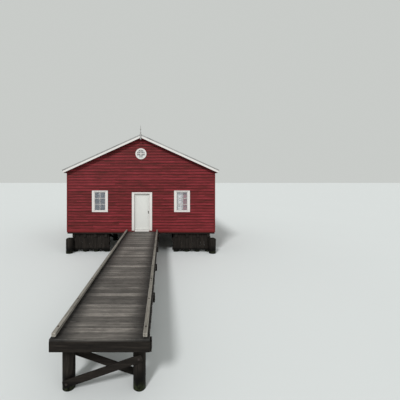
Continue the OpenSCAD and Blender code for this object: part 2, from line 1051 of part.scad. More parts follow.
// Square post with a pointed drop, and a turned spire above the peak. Each outline lists radius
// and height from the foot up
module finial() {
    r = post_w / 2;
    point = 40;
    low = roof_z(r, batten_v + barge_d) - post_drop;
    spire_z = ridge_z + 2 * ridge_roll_r;
    drop_outline = [
        [0, 0], [r * 0.45, 6], [r * 0.9, point * 0.7], [r * 0.9, point + cut], [0, point + cut]
    ];
    spire_outline = [
        [0, 0], [r * 0.95, 0], [r * 0.95, 20], [spire_r, 34], [spire_r, 44],
        [r * 0.6, 60], [r * 0.5, 120], [r * 0.62, 190], [spire_r * 0.86, 214],
        [spire_r * 0.86, 228], [r * 0.5, 246], [r * 0.3, spire_h * 0.75],
        [0, spire_h - 2 * ridge_roll_r]
    ];
    block([-r, -r, low + point], [r, r, spire_z]);
    translate([0, 0, low])
        rotate_extrude()
            polygon(drop_outline);
    translate([0, 0, spire_z])
        rotate_extrude()
            polygon(spire_outline);
}

module finials() {
    color("#cfccc5")
        both_ends()
            translate([0, verge_front - flashing_t - post_w / 2, 0])
                finial();
}

module eaves_fascias() {
    inner_x = fascia_x - fascia_t;
    bottom = roof_z(inner_x, under_v) - fascia_drop;
    color("#e2dfd8")
        both_sides()
            span_y(verge_front + barge_t, verge_rear - barge_t)
                polygon([
                    [inner_x, bottom], [fascia_x, bottom],
                    plumb(fascia_x, batten_v), plumb(inner_x, batten_v)
                ]);
}

// ---- jetty ----

module jetty_piles() {
    color("#3a332d")
        for (side = [-1, 1], y = bent_ys)
            translate([entry_x + side * jetty_line, y, 0])
                pile(jetty_pile_dia, jetty_pile_top);
}

module jetty_cap_beams() {
    reach = deck_w / 2 + cap_reach;
    color("#4a4038")
        for (y = bent_ys)
            block(
                [entry_x - reach, y - cap_w / 2, jetty_pile_top],
                [entry_x + reach, y + cap_w / 2, cap_top]
            );
}

module jetty_stringers() {
    color("#4f453b")
        for (i = [-1 : 1])
            let (x = entry_x + i * jetty_line)
                block(
                    [x - stringer_t / 2, jetty_end_y + end_board_t, cap_top],
                    [x + stringer_t / 2, jetty_head_y, stringer_top]
                );
}

module jetty_deck() {
    color("#6a625a")
        block(
            [entry_x - deck_w / 2, jetty_end_y, stringer_top],
            [entry_x + deck_w / 2, jetty_head_y, deck_z]
        );
}

kerb_x = deck_w / 2 - kerb_inset - kerb_w;

module jetty_kerbs() {
    wall_gap = 20;
    color("#8b857a")
        for (side = [-1, 1])
            translate([entry_x, 0, 0])
                mirror([side < 0 ? 1 : 0, 0, 0])
                    block(
                        [kerb_x, jetty_end_y, deck_z + block_d],
                        [kerb_x + kerb_w, jetty_head_y - wall_gap, deck_z + block_d + kerb_d]
                    );
}

module jetty_kerb_blocks() {
    first = jetty_end_y + block_l;
    last = jetty_head_y - block_l;
    count = 2 * jetty_bays + 1;
    color("#6f675d")
        for (side = [-1, 1], i = [0 : count - 1])
            let (y = first + i * (last - first) / (count - 1))
                translate([entry_x, y, 0])
                    mirror([side < 0 ? 1 : 0, 0, 0])
                        block(
                            [kerb_x, -block_l / 2, deck_z],
                            [kerb_x + kerb_w, block_l / 2, deck_z + block_d]
                        );
}

// A diagonal on each face of a bent, crossing each other
module jetty_braces() {
    reach = jetty_line + brace_end;
    high = jetty_pile_top - brace_d / 2 - brace_drop;
    off = jetty_pile_dia / 2 + seat_gap;
    color("#453c34")
        for (y = bent_ys) {
            translate([entry_x, y + off, 0])
                plank([-reach, high], [reach, brace_low], brace_d, brace_t);
            translate([entry_x, y - off - brace_t, 0])
                plank([reach, high], [-reach, brace_low], brace_d, brace_t);
        }
}

module jetty_end_board() {
    color("#544b41")
        block(
            [entry_x - deck_w / 2, jetty_end_y, stringer_top - stringer_d],
            [entry_x + deck_w / 2, jetty_end_y + end_board_t, stringer_top]
        );
}

house_piles();
corner_fender_piles();
pile_braces();
front_screens();
floor_bearers();
floor_joists();
floor_boards();
front_wall_left();
front_wall_right();
front_wall_over_door();
front_gable();
rear_wall();
left_wall();
right_wall();
wall_base_boards();
corner_boards();
window_casings();
window_sashes();
window_glass();
round_window_frames();
round_window_glass();
door_jambs();
door_head();
door_sill();
door_leaf();
door_knobs();
door_hinge_pins();
door_hinge_knuckles();
curtain_rod();
window_curtains();
ridge_beam();
rafters();
eaves_blocks();
collar_ties();
roof_battens();
roof_sheet_left();
roof_sheet_right();
ridge_cap();
barge_boards();
barge_flashings();
finials();
eaves_fascias();
jetty_piles();
jetty_cap_beams();
jetty_stringers();
jetty_deck();
jetty_kerbs();
jetty_kerb_blocks();
jetty_braces();
jetty_end_board();
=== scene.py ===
"""Looks of the boathouse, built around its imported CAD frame, and laid out as an add-on."""

import math
from random import Random

import bmesh
import bpy
from bpy.props import FloatProperty, FloatVectorProperty, IntProperty, PointerProperty
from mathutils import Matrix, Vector


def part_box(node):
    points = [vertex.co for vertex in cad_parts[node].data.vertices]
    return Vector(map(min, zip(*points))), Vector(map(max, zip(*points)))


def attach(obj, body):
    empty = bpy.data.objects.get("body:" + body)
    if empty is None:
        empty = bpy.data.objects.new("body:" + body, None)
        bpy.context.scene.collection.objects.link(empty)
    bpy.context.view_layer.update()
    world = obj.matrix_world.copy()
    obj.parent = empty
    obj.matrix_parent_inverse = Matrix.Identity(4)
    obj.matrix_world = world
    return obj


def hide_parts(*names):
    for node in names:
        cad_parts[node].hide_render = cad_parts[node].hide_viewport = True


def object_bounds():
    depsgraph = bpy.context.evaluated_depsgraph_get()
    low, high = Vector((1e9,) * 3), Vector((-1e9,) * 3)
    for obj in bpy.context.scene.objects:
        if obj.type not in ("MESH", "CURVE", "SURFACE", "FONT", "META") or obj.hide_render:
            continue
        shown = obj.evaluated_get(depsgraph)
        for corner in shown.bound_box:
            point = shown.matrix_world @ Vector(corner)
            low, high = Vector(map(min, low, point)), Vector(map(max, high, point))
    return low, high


bl_info = {
    "name": "Boathouse",
    "version": (1, 0, 0),
    "blender": (4, 5, 0),
    "location": "3D View > Sidebar > Boathouse",
    "description": "Boards, roofing, jetty, windows, door and stage of a boathouse on piles",
    "category": "Object",
}

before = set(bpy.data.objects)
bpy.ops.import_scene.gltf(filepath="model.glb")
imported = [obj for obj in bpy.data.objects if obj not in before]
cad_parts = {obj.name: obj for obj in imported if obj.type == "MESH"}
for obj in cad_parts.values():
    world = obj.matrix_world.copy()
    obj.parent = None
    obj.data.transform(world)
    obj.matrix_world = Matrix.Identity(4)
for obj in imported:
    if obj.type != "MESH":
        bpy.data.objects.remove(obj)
CAD_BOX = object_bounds()
X, Y, Z = 0, 1, 2

# Corners of a CAD mesh closer together than this are one corner
WELD = 1e-5
# The gap between a board and the trim that it meets
GAP = 0.0015


# ---- sizes read from the frame ----


def solid_boxes(node):
    """The lowest and highest corner of each solid of a CAD node, from left to right and front to back."""
    mesh = bmesh.new()
    mesh.from_mesh(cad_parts[node].data)
    bmesh.ops.remove_doubles(mesh, verts=mesh.verts, dist=WELD)
    boxes = []
    for island in islands(mesh):
        low, high = (Vector(most(v.co[a] for v in island) for a in range(3)) for most in (min, max))
        boxes.append((low, high))
    mesh.free()
    return sorted(boxes, key=lambda b: tuple(round(c, 3) for c in (*b[0], *b[1])))


def islands(mesh):
    """The connected groups of vertices of a mesh."""
    seen = set()
    groups = []
    for first in mesh.verts:
        if first in seen:
            continue
        seen.add(first)
        group = [first]
        for vertex in group:
            for edge in vertex.link_edges:
                other = edge.other_vert(vertex)
                if other not in seen:
                    seen.add(other)
                    group.append(other)
        groups.append(group)
    return groups


def middle_of(box):
    """The middle of a box."""
    return (box[0] + box[1]) / 2


class Wall:
    """One wall's own directions: u along it, out from its frame, and z up."""

    def __init__(self, base, along, outward, half):
        self.base, self.along, self.outward = Vector(base), Vector(along), Vector(outward)
        self.half = half

    def place(self, point):
        """Where a point given as (u, out, z) lies."""
        u, out, z = point
        return self.base + self.along * u + self.outward * out + Vector((0, 0, z))

    def holds(self, box):
        """Whether a window's box lies on this wall's face."""
        nearest = 0.3
        return abs((middle_of(box) - self.base).dot(self.outward)) < nearest

    def local(self, box):
        """A box in the wall's own directions: (u, out, z) of its low and high corner."""
        ends = []
        for point in box:
            offset = point - self.base
            ends.append((offset.dot(self.along), offset.dot(self.outward), point.z))
        return [min(e[i] for e in ends) for i in range(3)], [max(e[i] for e in ends) for i in range(3)]

    def boxes(self, node):
        """The wall's own solids of a CAD node, in its own directions."""
        return [self.local(b) for b in solid_boxes(node) if self.holds(b)]


FLOOR_LOW, FLOOR_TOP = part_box("floor_boards")
SHEET_LOW, SHEET_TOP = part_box("roof_sheet_right")
BASE_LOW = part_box("wall_base_boards")[0]
SIDE_WALL_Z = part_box("right_wall")[1].z
HALF = FLOOR_TOP.x
MID_Y = (FLOOR_LOW.y + FLOOR_TOP.y) / 2
HALF_LONG = (FLOOR_TOP.y - FLOOR_LOW.y) / 2
WALL_FOOT = FLOOR_TOP.z
WALLS = {
    "front": Wall((0, FLOOR_LOW.y, 0), (1, 0, 0), (0, -1, 0), HALF),
    "rear": Wall((0, FLOOR_TOP.y, 0), (-1, 0, 0), (0, 1, 0), HALF),
    "left": Wall((-HALF, MID_Y, 0), (0, -1, 0), (-1, 0, 0), HALF_LONG),
    "right": Wall((HALF, MID_Y, 0), (0, 1, 0), (1, 0, 0), HALF_LONG),
}

# The roof's slope, from the highest and lowest corners of the walls that follow it
RIDGE_WALL_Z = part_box("rear_wall")[1].z
EAVES_WALL_Z = max(v.co.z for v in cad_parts["front_gable"].data.vertices if v.co.x > HALF - 0.001)
PITCH = math.atan2(RIDGE_WALL_Z - EAVES_WALL_Z, HALF)

# The length of a slope from the ridge to the edge of the sheets, whose CAD slab is this thick
RIDGE_Z = SHEET_TOP.z
SHEET_SLAB = 0.02
SLOPE_RUN = (RIDGE_Z - SHEET_LOW.z - SHEET_SLAB * math.cos(PITCH)) / math.sin(PITCH)


def down_roof(side, u, depth):
    """A point of the roof u down the slope and depth below the top of the sheets, as x and z."""
    return (
        side * (u * math.cos(PITCH) - depth * math.sin(PITCH)),
        RIDGE_Z - u * math.sin(PITCH) - depth * math.cos(PITCH),
    )


# ---- shapes ----


def box_pattern():
    """The points and faces of a box with its edges cut off, and which faces are those cuts."""
    corners = [(i, j, k) for i in (-1, 1) for j in (-1, 1) for k in (-1, 1)]
    number = {(c, axis): i * 3 + axis for i, c in enumerate(corners) for axis in range(3)}
    points = [(c, axis) for c in corners for axis in range(3)]
    faces = []
    for axis in range(3):
        b, c = (axis + 1) % 3, (axis + 2) % 3
        for sign in (-1, 1):
            ring = []
            for sb, sc in ((-1, -1), (1, -1), (1, 1), (-1, 1)):
                corner = [0, 0, 0]
                corner[axis], corner[b], corner[c] = sign, sb, sc
                ring.append(number[tuple(corner), axis])
            faces.append(ring)
        for sb in (-1, 1):
            for sc in (-1, 1):
                ends = []
                for sign in (-1, 1):
                    corner = [0, 0, 0]
                    corner[axis], corner[b], corner[c] = sign, sb, sc
                    ends.append(tuple(corner))
                near, far = ends
                faces.append([number[near, b], number[far, b], number[far, c], number[near, c]])
    for corner in corners:
        faces.append([number[corner, axis] for axis in range(3)])
    sides = {frozenset(number[c, a] for c in corners if c[a] == sign) for a in range(3) for sign in (-1, 1)}
    return points, faces, [0.0 if frozenset(face) in sides else 1.0 for face in faces]


BOX_POINTS, BOX_FACES, BOX_CUTS = box_pattern()

# A timber's edges are cut off by no more than this share of half its thickness
MOST_CUT = 0.45
# Edges of a CAD piece count as corners from this angle, and its faces as flat up to this one
CORNER_ANGLE = math.radians(30)
FLAT_ANGLE = math.radians(1)
# The grain of each board starts somewhere else, up to this far off
GRAIN_SHIFT = 9


def grain_shift(chance):
    """Where a board's grain starts."""
    return Vector(chance.uniform(0, GRAIN_SHIFT) for _ in range(3))


def ring_points(around):
    """The angles of the points of a ring."""
    return [2 * math.pi * i / around for i in range(around)]


def ring_faces(rings, around):
    """The faces of a closed solid through rings of points, with its two ends."""
    faces = []
    for k in range(rings - 1):
        for i in range(around):
            j = (i + 1) % around
            faces.append([k * around + i, k * around + j, (k + 1) * around + j, (k + 1) * around + i])
    faces.append(list(range(around))[::-1])
    faces.append([(rings - 1) * around + i for i in range(around)])
    return faces


def add_values(mesh, name, domain, values):
    """Stores one number for each point or face of a mesh."""
    mesh.attributes.new(name, "FLOAT", domain).data.foreach_set("value", values)


class Shape:
    """Gathers the points and faces of one piece, with each board's grain, tone and width."""

    def __init__(self, seed):
        self.random = Random(seed)
        self.points, self.faces, self.grain = [], [], []
        self.tones, self.across, self.cuts = [], [], []

    def add(self, points, faces, grain, tone=None, across=None, cuts=None):
        """Adds one board or part. Its grain gets a shift of its own, so no two boards match."""
        start = len(self.points)
        shift = grain_shift(self.random)
        if tone is None:
            tone = self.random.uniform(-1, 1)
        self.points += [tuple(p) for p in points]
        self.faces += [[start + i for i in face] for face in faces]
        self.grain += [tuple(Vector(g) + shift) for g in grain]
        self.tones += [tone] * len(points)
        self.across += across or [0.0] * len(points)
        self.cuts += cuts or [0.0] * len(faces)

    def bar(self, low, high, along=X, chamfer=0.003, place=None, tone=None, skew=None):
        """A squared timber with its edges taken off. skew moves each raw point, for warp and wear."""
        low, high = Vector(low), Vector(high)
        middle, half = (low + high) / 2, (high - low) / 2
        cut = min(chamfer, *(h * MOST_CUT for h in half))
        raw = []
        for corner, axis in BOX_POINTS:
            raw.append([middle[a] + corner[a] * (half[a] - (0 if a == axis else cut)) for a in range(3)])
        if skew:
            raw = [skew(Vector(p)) for p in raw]
        grain = [(p[along], p[(along + 1) % 3], p[(along + 2) % 3]) for p in raw]
        wide = max((a for a in range(3) if a != along), key=lambda a: half[a])
        points = [place(p) for p in raw] if place else raw
        across = [float(corner[wide]) for corner, _ in BOX_POINTS]
        self.add(points, BOX_FACES, grain, tone, across, BOX_CUTS)

    def prism(self, near, far, tone=None, grain=None):
        """A solid between two outlines with the same number of points."""
        n = len(near)
        faces = [list(range(n))[::-1], list(range(n, 2 * n))]
        faces += [[i, (i + 1) % n, n + (i + 1) % n, n + i] for i in range(n)]
        points = list(near) + list(far)
        self.add(points, faces, grain or points, tone)

    def turned(self, outline, centre, axis=Z, count=12, tone=None):
        """A solid turned round an axis, from (radius, height) points that start and end on it."""
        a, b = (axis + 1) % 3, (axis + 2) % 3
        points = []
        for radius, height in outline:
            for turn in ring_points(count):
                point = list(centre)
                point[axis] += height
                point[a] += radius * math.cos(turn)
                point[b] += radius * math.sin(turn)
                points.append(point)
        self.add(points, ring_faces(len(outline), count), points, tone)

    def build(self, name, material, slot, body="house", replaces=(), smooth=None, closed=True):
        """Makes the object, gives it its material and hangs it on its body."""
        mesh = bpy.data.meshes.new(name)
        mesh.from_pydata(self.points, [], self.faces)
        grain = mesh.attributes.new("grain", "FLOAT_VECTOR", "POINT")
        grain.data.foreach_set("vector", [c for g in self.grain for c in g])
        add_values(mesh, "tone", "POINT", self.tones)
        add_values(mesh, "across", "POINT", self.across)
        add_values(mesh, "edge", "FACE", self.cuts)
        if closed:
            work = bmesh.new()
            work.from_mesh(mesh)
            bmesh.ops.recalc_face_normals(work, faces=work.faces)
            work.to_mesh(mesh)
            work.free()
        return finish_piece(name, mesh, material, body, replaces, smooth)


def finish_piece(name, mesh, material, body, replaces, smooth):
    """Turns a mesh into a piece of the model."""
    if smooth:
        mesh.polygons.foreach_set("use_smooth", [True] * len(mesh.polygons))
        mesh.set_sharp_from_angle(angle=math.radians(smooth))
    mesh.materials.clear()
    mesh.materials.append(material)
    mesh.update()
    piece = bpy.data.objects.new(name, mesh)
    bpy.context.scene.collection.objects.link(piece)
    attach(piece, body)
    if replaces:
        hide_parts(*replaces)
    return piece


def eased(name, node, material, along=X, width=0.003, segments=1, body="house", smooth=None):
    """A copy of a CAD piece with its corners eased, which stands for it."""
    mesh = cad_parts[node].data.copy()
    mesh.name = name
    work = bmesh.new()
    work.from_mesh(mesh)
    edge = work.faces.layers.float.new("edge")
    bmesh.ops.remove_doubles(work, verts=work.verts, dist=WELD)
    bmesh.ops.dissolve_limit(work, angle_limit=FLAT_ANGLE, verts=work.verts, edges=work.edges)
    corners = [e for e in work.edges if e.is_manifold and e.calc_face_angle(0) > CORNER_ANGLE]
    cut = bmesh.ops.bevel(
        work, geom=corners, offset=width, segments=segments, profile=0.6, affect="EDGES", clamp_overlap=True
    )
    for face in cut["faces"]:
        face[edge] = 1.0
    bmesh.ops.recalc_face_normals(work, faces=work.faces)
    chance = Random(name)
    grain = work.verts.layers.float_vector.new("grain")
    tone = work.verts.layers.float.new("tone")
    for island in islands(work):
        shade = chance.uniform(-1, 1)
        shift = grain_shift(chance)
        for vertex in island:
            p = vertex.co
            vertex[grain] = Vector((p[along], p[(along + 1) % 3], p[(along + 2) % 3])) + shift
            vertex[tone] = shade
    work.to_mesh(mesh)
    work.free()
    return finish_piece(name, mesh, material, body, (node,), smooth)


def soft_grid(name, rows, material, slot, body="house"):
    """An open cloth surface through rows of points."""
    wide = len(rows[0])
    points = [p for row in rows for p in row]
    faces = [
        [r * wide + i, r * wide + i + 1, (r + 1) * wide + i + 1, (r + 1) * wide + i]
        for r in range(len(rows) - 1)
        for i in range(wide - 1)
    ]
    shape = Shape(name)
    shape.add(points, faces, points, 0)
    return shape.build(name, material, slot, body, smooth=80, closed=False)


# ---- materials ----


def feed(tree, pins, values):
    """Gives each named input a value, or another node's output."""
    for key, value in values.items():
        if isinstance(value, bpy.types.NodeSocket):
            tree.links.new(value, pins[key])
        else:
            pins[key].default_value = value


def put(tree, kind, inputs=None, **settings):
    """Adds a node. Each input is a value or another node's output."""
    node = tree.nodes.new("ShaderNode" + kind)
    for key, value in settings.items():
        setattr(node, key, value)
    feed(tree, node.inputs, inputs or {})
    return node


def sums(tree, operation, *values):
    """A Math node's output."""
    return put(tree, "Math", dict(enumerate(values)), operation=operation).outputs[0]


def mixed(tree, share, a, b, blend="MIX"):
    """A Mix node's colour output."""
    node = put(tree, "Mix", {0: share, 6: a, 7: b}, data_type="RGBA", blend_type=blend)
    return node.outputs[2]


def ranged(tree, value, low, high, to_low=0.0, to_high=1.0):
    """A smooth step from one range to another."""
    node = put(
        tree,
        "MapRange",
        {"Value": value, "From Min": low, "From Max": high, "To Min": to_low, "To Max": to_high},
        interpolation_type="SMOOTHSTEP",
    )
    return node.outputs[0]


def noise(tree, vector, scale, detail=4.0, rough=0.55, twist=0.0):
    """A noise texture's value."""
    node = put(
        tree,
        "TexNoise",
        {"Vector": vector, "Scale": scale, "Detail": detail, "Roughness": rough, "Distortion": twist},
    )
    return node.outputs[0]


def new_group(name, inputs, outputs):
    """An empty shader node group with named sockets, and its two end nodes."""
    tree = bpy.data.node_groups.new(name, "ShaderNodeTree")
    for label, kind, value in inputs:
        socket = tree.interface.new_socket(label, in_out="INPUT", socket_type="NodeSocket" + kind)
        if value is not None:
            socket.default_value = value
    for label, kind in outputs:
        tree.interface.new_socket(label, in_out="OUTPUT", socket_type="NodeSocket" + kind)
    return tree, tree.nodes.new("NodeGroupInput").outputs, tree.nodes.new("NodeGroupOutput").inputs


def use(tree, name, inputs):
    """Places a node group in a material and returns its outputs."""
    return put(tree, "Group", inputs, node_tree=bpy.data.node_groups[name]).outputs


def carried(tree, name):
    """A number that each board carries."""
    return put(tree, "Attribute", attribute_name=name).outputs["Fac"]


def part_of(tree, vector, axis):
    """One of a vector's three parts."""
    return put(tree, "SeparateXYZ", {0: vector}).outputs[axis]


def make_groups():
    """The effects that several finishes share."""
    tree, given, made = new_group(
        "timber_grain",
        [("Vector", "Vector", None), ("Stretch", "Float", 14.0), ("Scale", "Float", 1.0)],
        [("Streak", "Float"), ("Fine", "Float"), ("Height", "Float")],
    )
    stretch = put(tree, "CombineXYZ", {0: 1.0, 1: given["Stretch"], 2: given["Stretch"]}).outputs[0]
    along = put(tree, "VectorMath", {0: given["Vector"], 1: stretch}, operation="MULTIPLY").outputs[0]
    sized = put(tree, "VectorMath", {0: along, "Scale": given["Scale"]}, operation="SCALE").outputs[0]
    streak = noise(tree, sized, 1.0, 6.0, 0.62, 0.6)
    fine = noise(tree, sized, 5.5, 5.0, 0.7, 0.2)
    split = noise(tree, sized, 2.6, 3.0, 0.5, 1.2)
    cracks = sums(tree, "MULTIPLY", ranged(tree, split, 0.5, 0.53), ranged(tree, split, 0.56, 0.53))
    height = sums(tree, "ADD", sums(tree, "MULTIPLY", fine, 0.6), sums(tree, "MULTIPLY", streak, 0.4))
    tree.links.new(ranged(tree, streak, 0.28, 0.72), made["Streak"])
    tree.links.new(ranged(tree, fine, 0.25, 0.75), made["Fine"])
    tree.links.new(sums(tree, "SUBTRACT", height, sums(tree, "MULTIPLY", cracks, 0.5)), made["Height"])

    tree, given, made = new_group(
        "three_tones",
        [("Dark", "Color", None), ("Middle", "Color", None), ("Light", "Color", None),
         ("Value", "Float", 0.5), ("Tone", "Float", 0.0), ("Tone Share", "Float", 0.15)],
        [("Color", "Color")],
    )
    value = sums(tree, "MULTIPLY_ADD", given["Tone"], given["Tone Share"], given["Value"])
    lower = mixed(tree, ranged(tree, value, 0.0, 0.5), given["Dark"], given["Middle"])
    tree.links.new(mixed(tree, ranged(tree, value, 0.5, 1.0), lower, given["Light"]), made["Color"])

    tree, given, made = new_group(
        "edge_wear",
        [("Vector", "Vector", None), ("Amount", "Float", 0.5), ("Scale", "Float", 9.0)],
        [("Mask", "Float")],
    )
    edge = carried(tree, "edge")
    patch = ranged(tree, noise(tree, given["Vector"], given["Scale"], 5.0, 0.65), 0.35, 0.6)
    worn = sums(tree, "MULTIPLY", edge, patch)
    tree.links.new(sums(tree, "MULTIPLY", worn, given["Amount"]), made["Mask"])

    tree, given, made = new_group(
        "settled_dirt",
        [("Vector", "Vector", None), ("Amount", "Float", 0.5), ("Scale", "Float", 1.5)],
        [("Mask", "Float")],
    )
    up = part_of(tree, put(tree, "NewGeometry").outputs["Normal"], Z)
    flat = ranged(tree, up, 0.2, 0.9, 0.45, 1.0)
    patch = ranged(tree, noise(tree, given["Vector"], given["Scale"], 7.0, 0.65, 0.4), 0.4, 0.68)
    shade = sums(tree, "MULTIPLY", sums(tree, "MULTIPLY", patch, flat), given["Amount"])
    tree.links.new(shade, made["Mask"])

    tree, given, made = new_group(
        "water_mark",
        [("Vector", "Vector", None), ("Level", "Float", 0.3), ("Reach", "Float", 0.25)],
        [("Mask", "Float"), ("Growth", "Float")],
    )
    height = part_of(tree, given["Vector"], Z)
    ragged = sums(tree, "MULTIPLY_ADD", noise(tree, given["Vector"], 4.0, 5.0, 0.6), 0.3, height)
    ragged = sums(tree, "SUBTRACT", ragged, 0.15)
    top = sums(tree, "ADD", given["Level"], given["Reach"])
    tree.links.new(ranged(tree, ragged, top, given["Level"]), made["Mask"])
    growth = ranged(tree, noise(tree, given["Vector"], 16.0, 5.0, 0.7), 0.42, 0.62)
    wettest = sums(tree, "MULTIPLY", given["Level"], 0.4)
    low = ranged(tree, ragged, sums(tree, "ADD", given["Level"], 0.02), wettest)
    tree.links.new(sums(tree, "MULTIPLY", growth, low), made["Growth"])


def rgb(colour, by=1.0):
    """A colour with full alpha, made darker or lighter."""
    return (*(min(1, c * by) for c in colour[:3]), 1.0)


def shader(name):
    """An empty material, its tree and its Principled BSDF's inputs."""
    material = bpy.data.materials.new(name)
    material.use_nodes = True
    tree = material.node_tree
    return material, tree, tree.nodes["Principled BSDF"].inputs


def grain_of(tree):
    """The grain and tone that each board carries."""
    return put(tree, "Attribute", attribute_name="grain").outputs["Vector"], carried(tree, "tone")


def place_of(tree):
    """Where a point lies in its own piece."""
    return put(tree, "TexCoord").outputs["Object"]


def toned(tree, colours, value, tone, share):
    """A colour between a dark, a middle and a light one, moved by each board's own tone."""
    values = {"Value": value, "Tone": tone, "Tone Share": share}
    for key, colour in zip(("Dark", "Middle", "Light"), colours):
        values[key] = rgb(colour)
    return use(tree, "three_tones", values)["Color"]


def centred(tree, value, by, middle=0.5):
    """A value between 0 and 1 that is moved to lie round 0, and then round another middle."""
    return sums(tree, "MULTIPLY_ADD", sums(tree, "SUBTRACT", value, 0.5), by, middle)


def bumped(tree, pins, height, strength, distance=0.004):
    """Feeds a height into the normal."""
    node = put(tree, "Bump", {"Strength": strength, "Distance": distance, "Height": height})
    tree.links.new(node.outputs[0], pins["Normal"])


# Growth near the water, rust on sheets and rust on ironwork
GREEN_GROWTH = (0.035, 0.045, 0.018)
RUST = (0.16, 0.07, 0.035)
RUSTY_BLOOM = (0.12, 0.05, 0.028)


def timber(name, dark, middle, light, stretch=14.0, scale=1.0, rough=0.75, share=0.18, bump=0.5, wet=None,
           wear=0.35, dirt=0.4, worn_path=None, edge_shade=0.0, cad_axis=None):
    """Bare timber with grain, worn edges and dirt. wet gives the level and reach of a water mark. The path
    setting gives the middle and half width of a pale worn path, with the deck darker towards its sides and
    painted highlight glints along the path.
    """
    material, tree, pins = shader(name)
    place = place_of(tree)
    if cad_axis is None:
        grain, tone = grain_of(tree)
    else:
        turn = {X: (0, 0, 0), Y: (0, 0, math.radians(90)), Z: (0, math.radians(90), 0)}[cad_axis]
        grain = put(tree, "Mapping", {"Vector": place, "Rotation": turn}).outputs[0]
        tone = 0.0
    parts = use(tree, "timber_grain", {"Vector": grain, "Stretch": stretch, "Scale": scale})
    value = parts["Streak"]
    if worn_path:
        middle_x, half = worn_path
        side = part_of(tree, place, X)
        off = sums(tree, "ABSOLUTE", sums(tree, "SUBTRACT", side, middle_x))
        path = ranged(tree, off, half * 0.95, half * 0.4)
        patchy = noise(tree, place, 1.1, 3.0, 0.5)
        path = sums(tree, "MULTIPLY", path, ranged(tree, patchy, 0.3, 0.7, 0.55, 1.0))
        value = sums(tree, "MULTIPLY_ADD", path, 0.62, sums(tree, "MULTIPLY_ADD", value, 0.8, -0.36))
    colour = toned(tree, (dark, middle, light), value, tone, share)
    fine = mixed(tree, 0.35, colour, mixed(tree, parts["Fine"], rgb(dark), rgb(light)))
    edges = use(tree, "edge_wear", {"Vector": place, "Amount": wear})["Mask"]
    colour = mixed(tree, edges, fine, rgb(light, 1.35))
    grime = use(tree, "settled_dirt", {"Vector": place, "Amount": dirt})["Mask"]
    colour = mixed(tree, grime, colour, rgb(dark, 0.5))
    if worn_path:
        # The deck is made darker towards its sides by the kerbs
        darker_towards_kerbs = ranged(tree, off, half * 0.98, half * 0.5, 0.28, 1.0)
        colour = mixed(tree, 1.0, colour, darker_towards_kerbs, "MULTIPLY")
        # Painted highlights: pale glints on the lighter boards along the path
        painted_glint = sums(tree, "MULTIPLY", ranged(tree, parts["Fine"], 0.62, 0.9), ranged(tree, tone, 0.1, 0.9))
        painted_glint = sums(tree, "MULTIPLY", painted_glint, sums(tree, "MULTIPLY", path, 0.75))
        colour = mixed(tree, painted_glint, colour, rgb(light, 2.2))
    if edge_shade:
        side = centred(tree, parts["Streak"], 0.25, sums(tree, "ABSOLUTE", carried(tree, "across")))
        colour = mixed(tree, ranged(tree, side, 0.62, 1.02, 0.0, edge_shade), colour, rgb(dark, 0.35))
    gloss = ranged(tree, parts["Fine"], 0.0, 1.0, rough - 0.08, rough + 0.08)
    if wet:
        marks = use(tree, "water_mark", {"Vector": place, "Level": wet[0], "Reach": wet[1]})
        colour = mixed(tree, marks["Mask"], colour, rgb(dark, 0.42))
        colour = mixed(tree, sums(tree, "MULTIPLY", marks["Growth"], 0.55), colour, rgb(GREEN_GROWTH))
        gloss = sums(tree, "MULTIPLY_ADD", marks["Mask"], -0.38, gloss)
    shine = 0.08 if wet else 0.25
    feed(tree, pins, {"Base Color": colour, "Roughness": gloss, "Specular IOR Level": shine})
    bumped(tree, pins, parts["Height"], bump)
    return material


def painted(name, colour, light, dark, streaks=0.5, share=0.1, rough=0.5, dirt=0.3, laps=False, wear=0.25,
            under=(0.28, 0.24, 0.2), cad=False, shine=0.35):
    """Brushed paint over timber. laps adds painted shade and dirt below each lap, cad suits a piece without
    grain.
    """
    material, tree, pins = shader(name)
    place = place_of(tree)
    grain, tone = (place, 0.0) if cad else grain_of(tree)
    parts = use(tree, "timber_grain", {"Vector": grain, "Stretch": 22.0, "Scale": 1.6})
    broad = noise(tree, place, 0.9, 4.0, 0.6)
    value = centred(tree, broad, 0.5, centred(tree, parts["Streak"], streaks))
    base = toned(tree, (dark, colour, light), value, tone, share)
    if laps:
        # Painted shade with dirt darkens the top of each board under the lap above; the foot is paler where
        # the paint is sun-bleached and worn
        ragged = centred(tree, parts["Fine"], 0.12, carried(tree, "lap"))
        base = mixed(tree, ranged(tree, ragged, 0.5, 0.92, 0.0, 0.8), base, rgb(dark, 0.35))
        base = mixed(tree, ranged(tree, ragged, 0.3, 0.04, 0.0, 0.45), base, rgb(light))
    grime = use(tree, "settled_dirt", {"Vector": place, "Amount": dirt})["Mask"]
    base = mixed(tree, grime, base, rgb(dark, 0.62))
    chips = use(tree, "edge_wear", {"Vector": place, "Amount": wear, "Scale": 22.0})["Mask"]
    base = mixed(tree, chips, base, rgb(under))
    gloss = ranged(tree, parts["Fine"], 0.0, 1.0, rough - 0.07, rough + 0.1)
    gloss = sums(tree, "MULTIPLY_ADD", grime, 0.2, gloss)
    feed(tree, pins, {"Base Color": base, "Roughness": gloss, "Specular IOR Level": shine})
    bumped(tree, pins, parts["Height"], 0.25, 0.002)
    return material


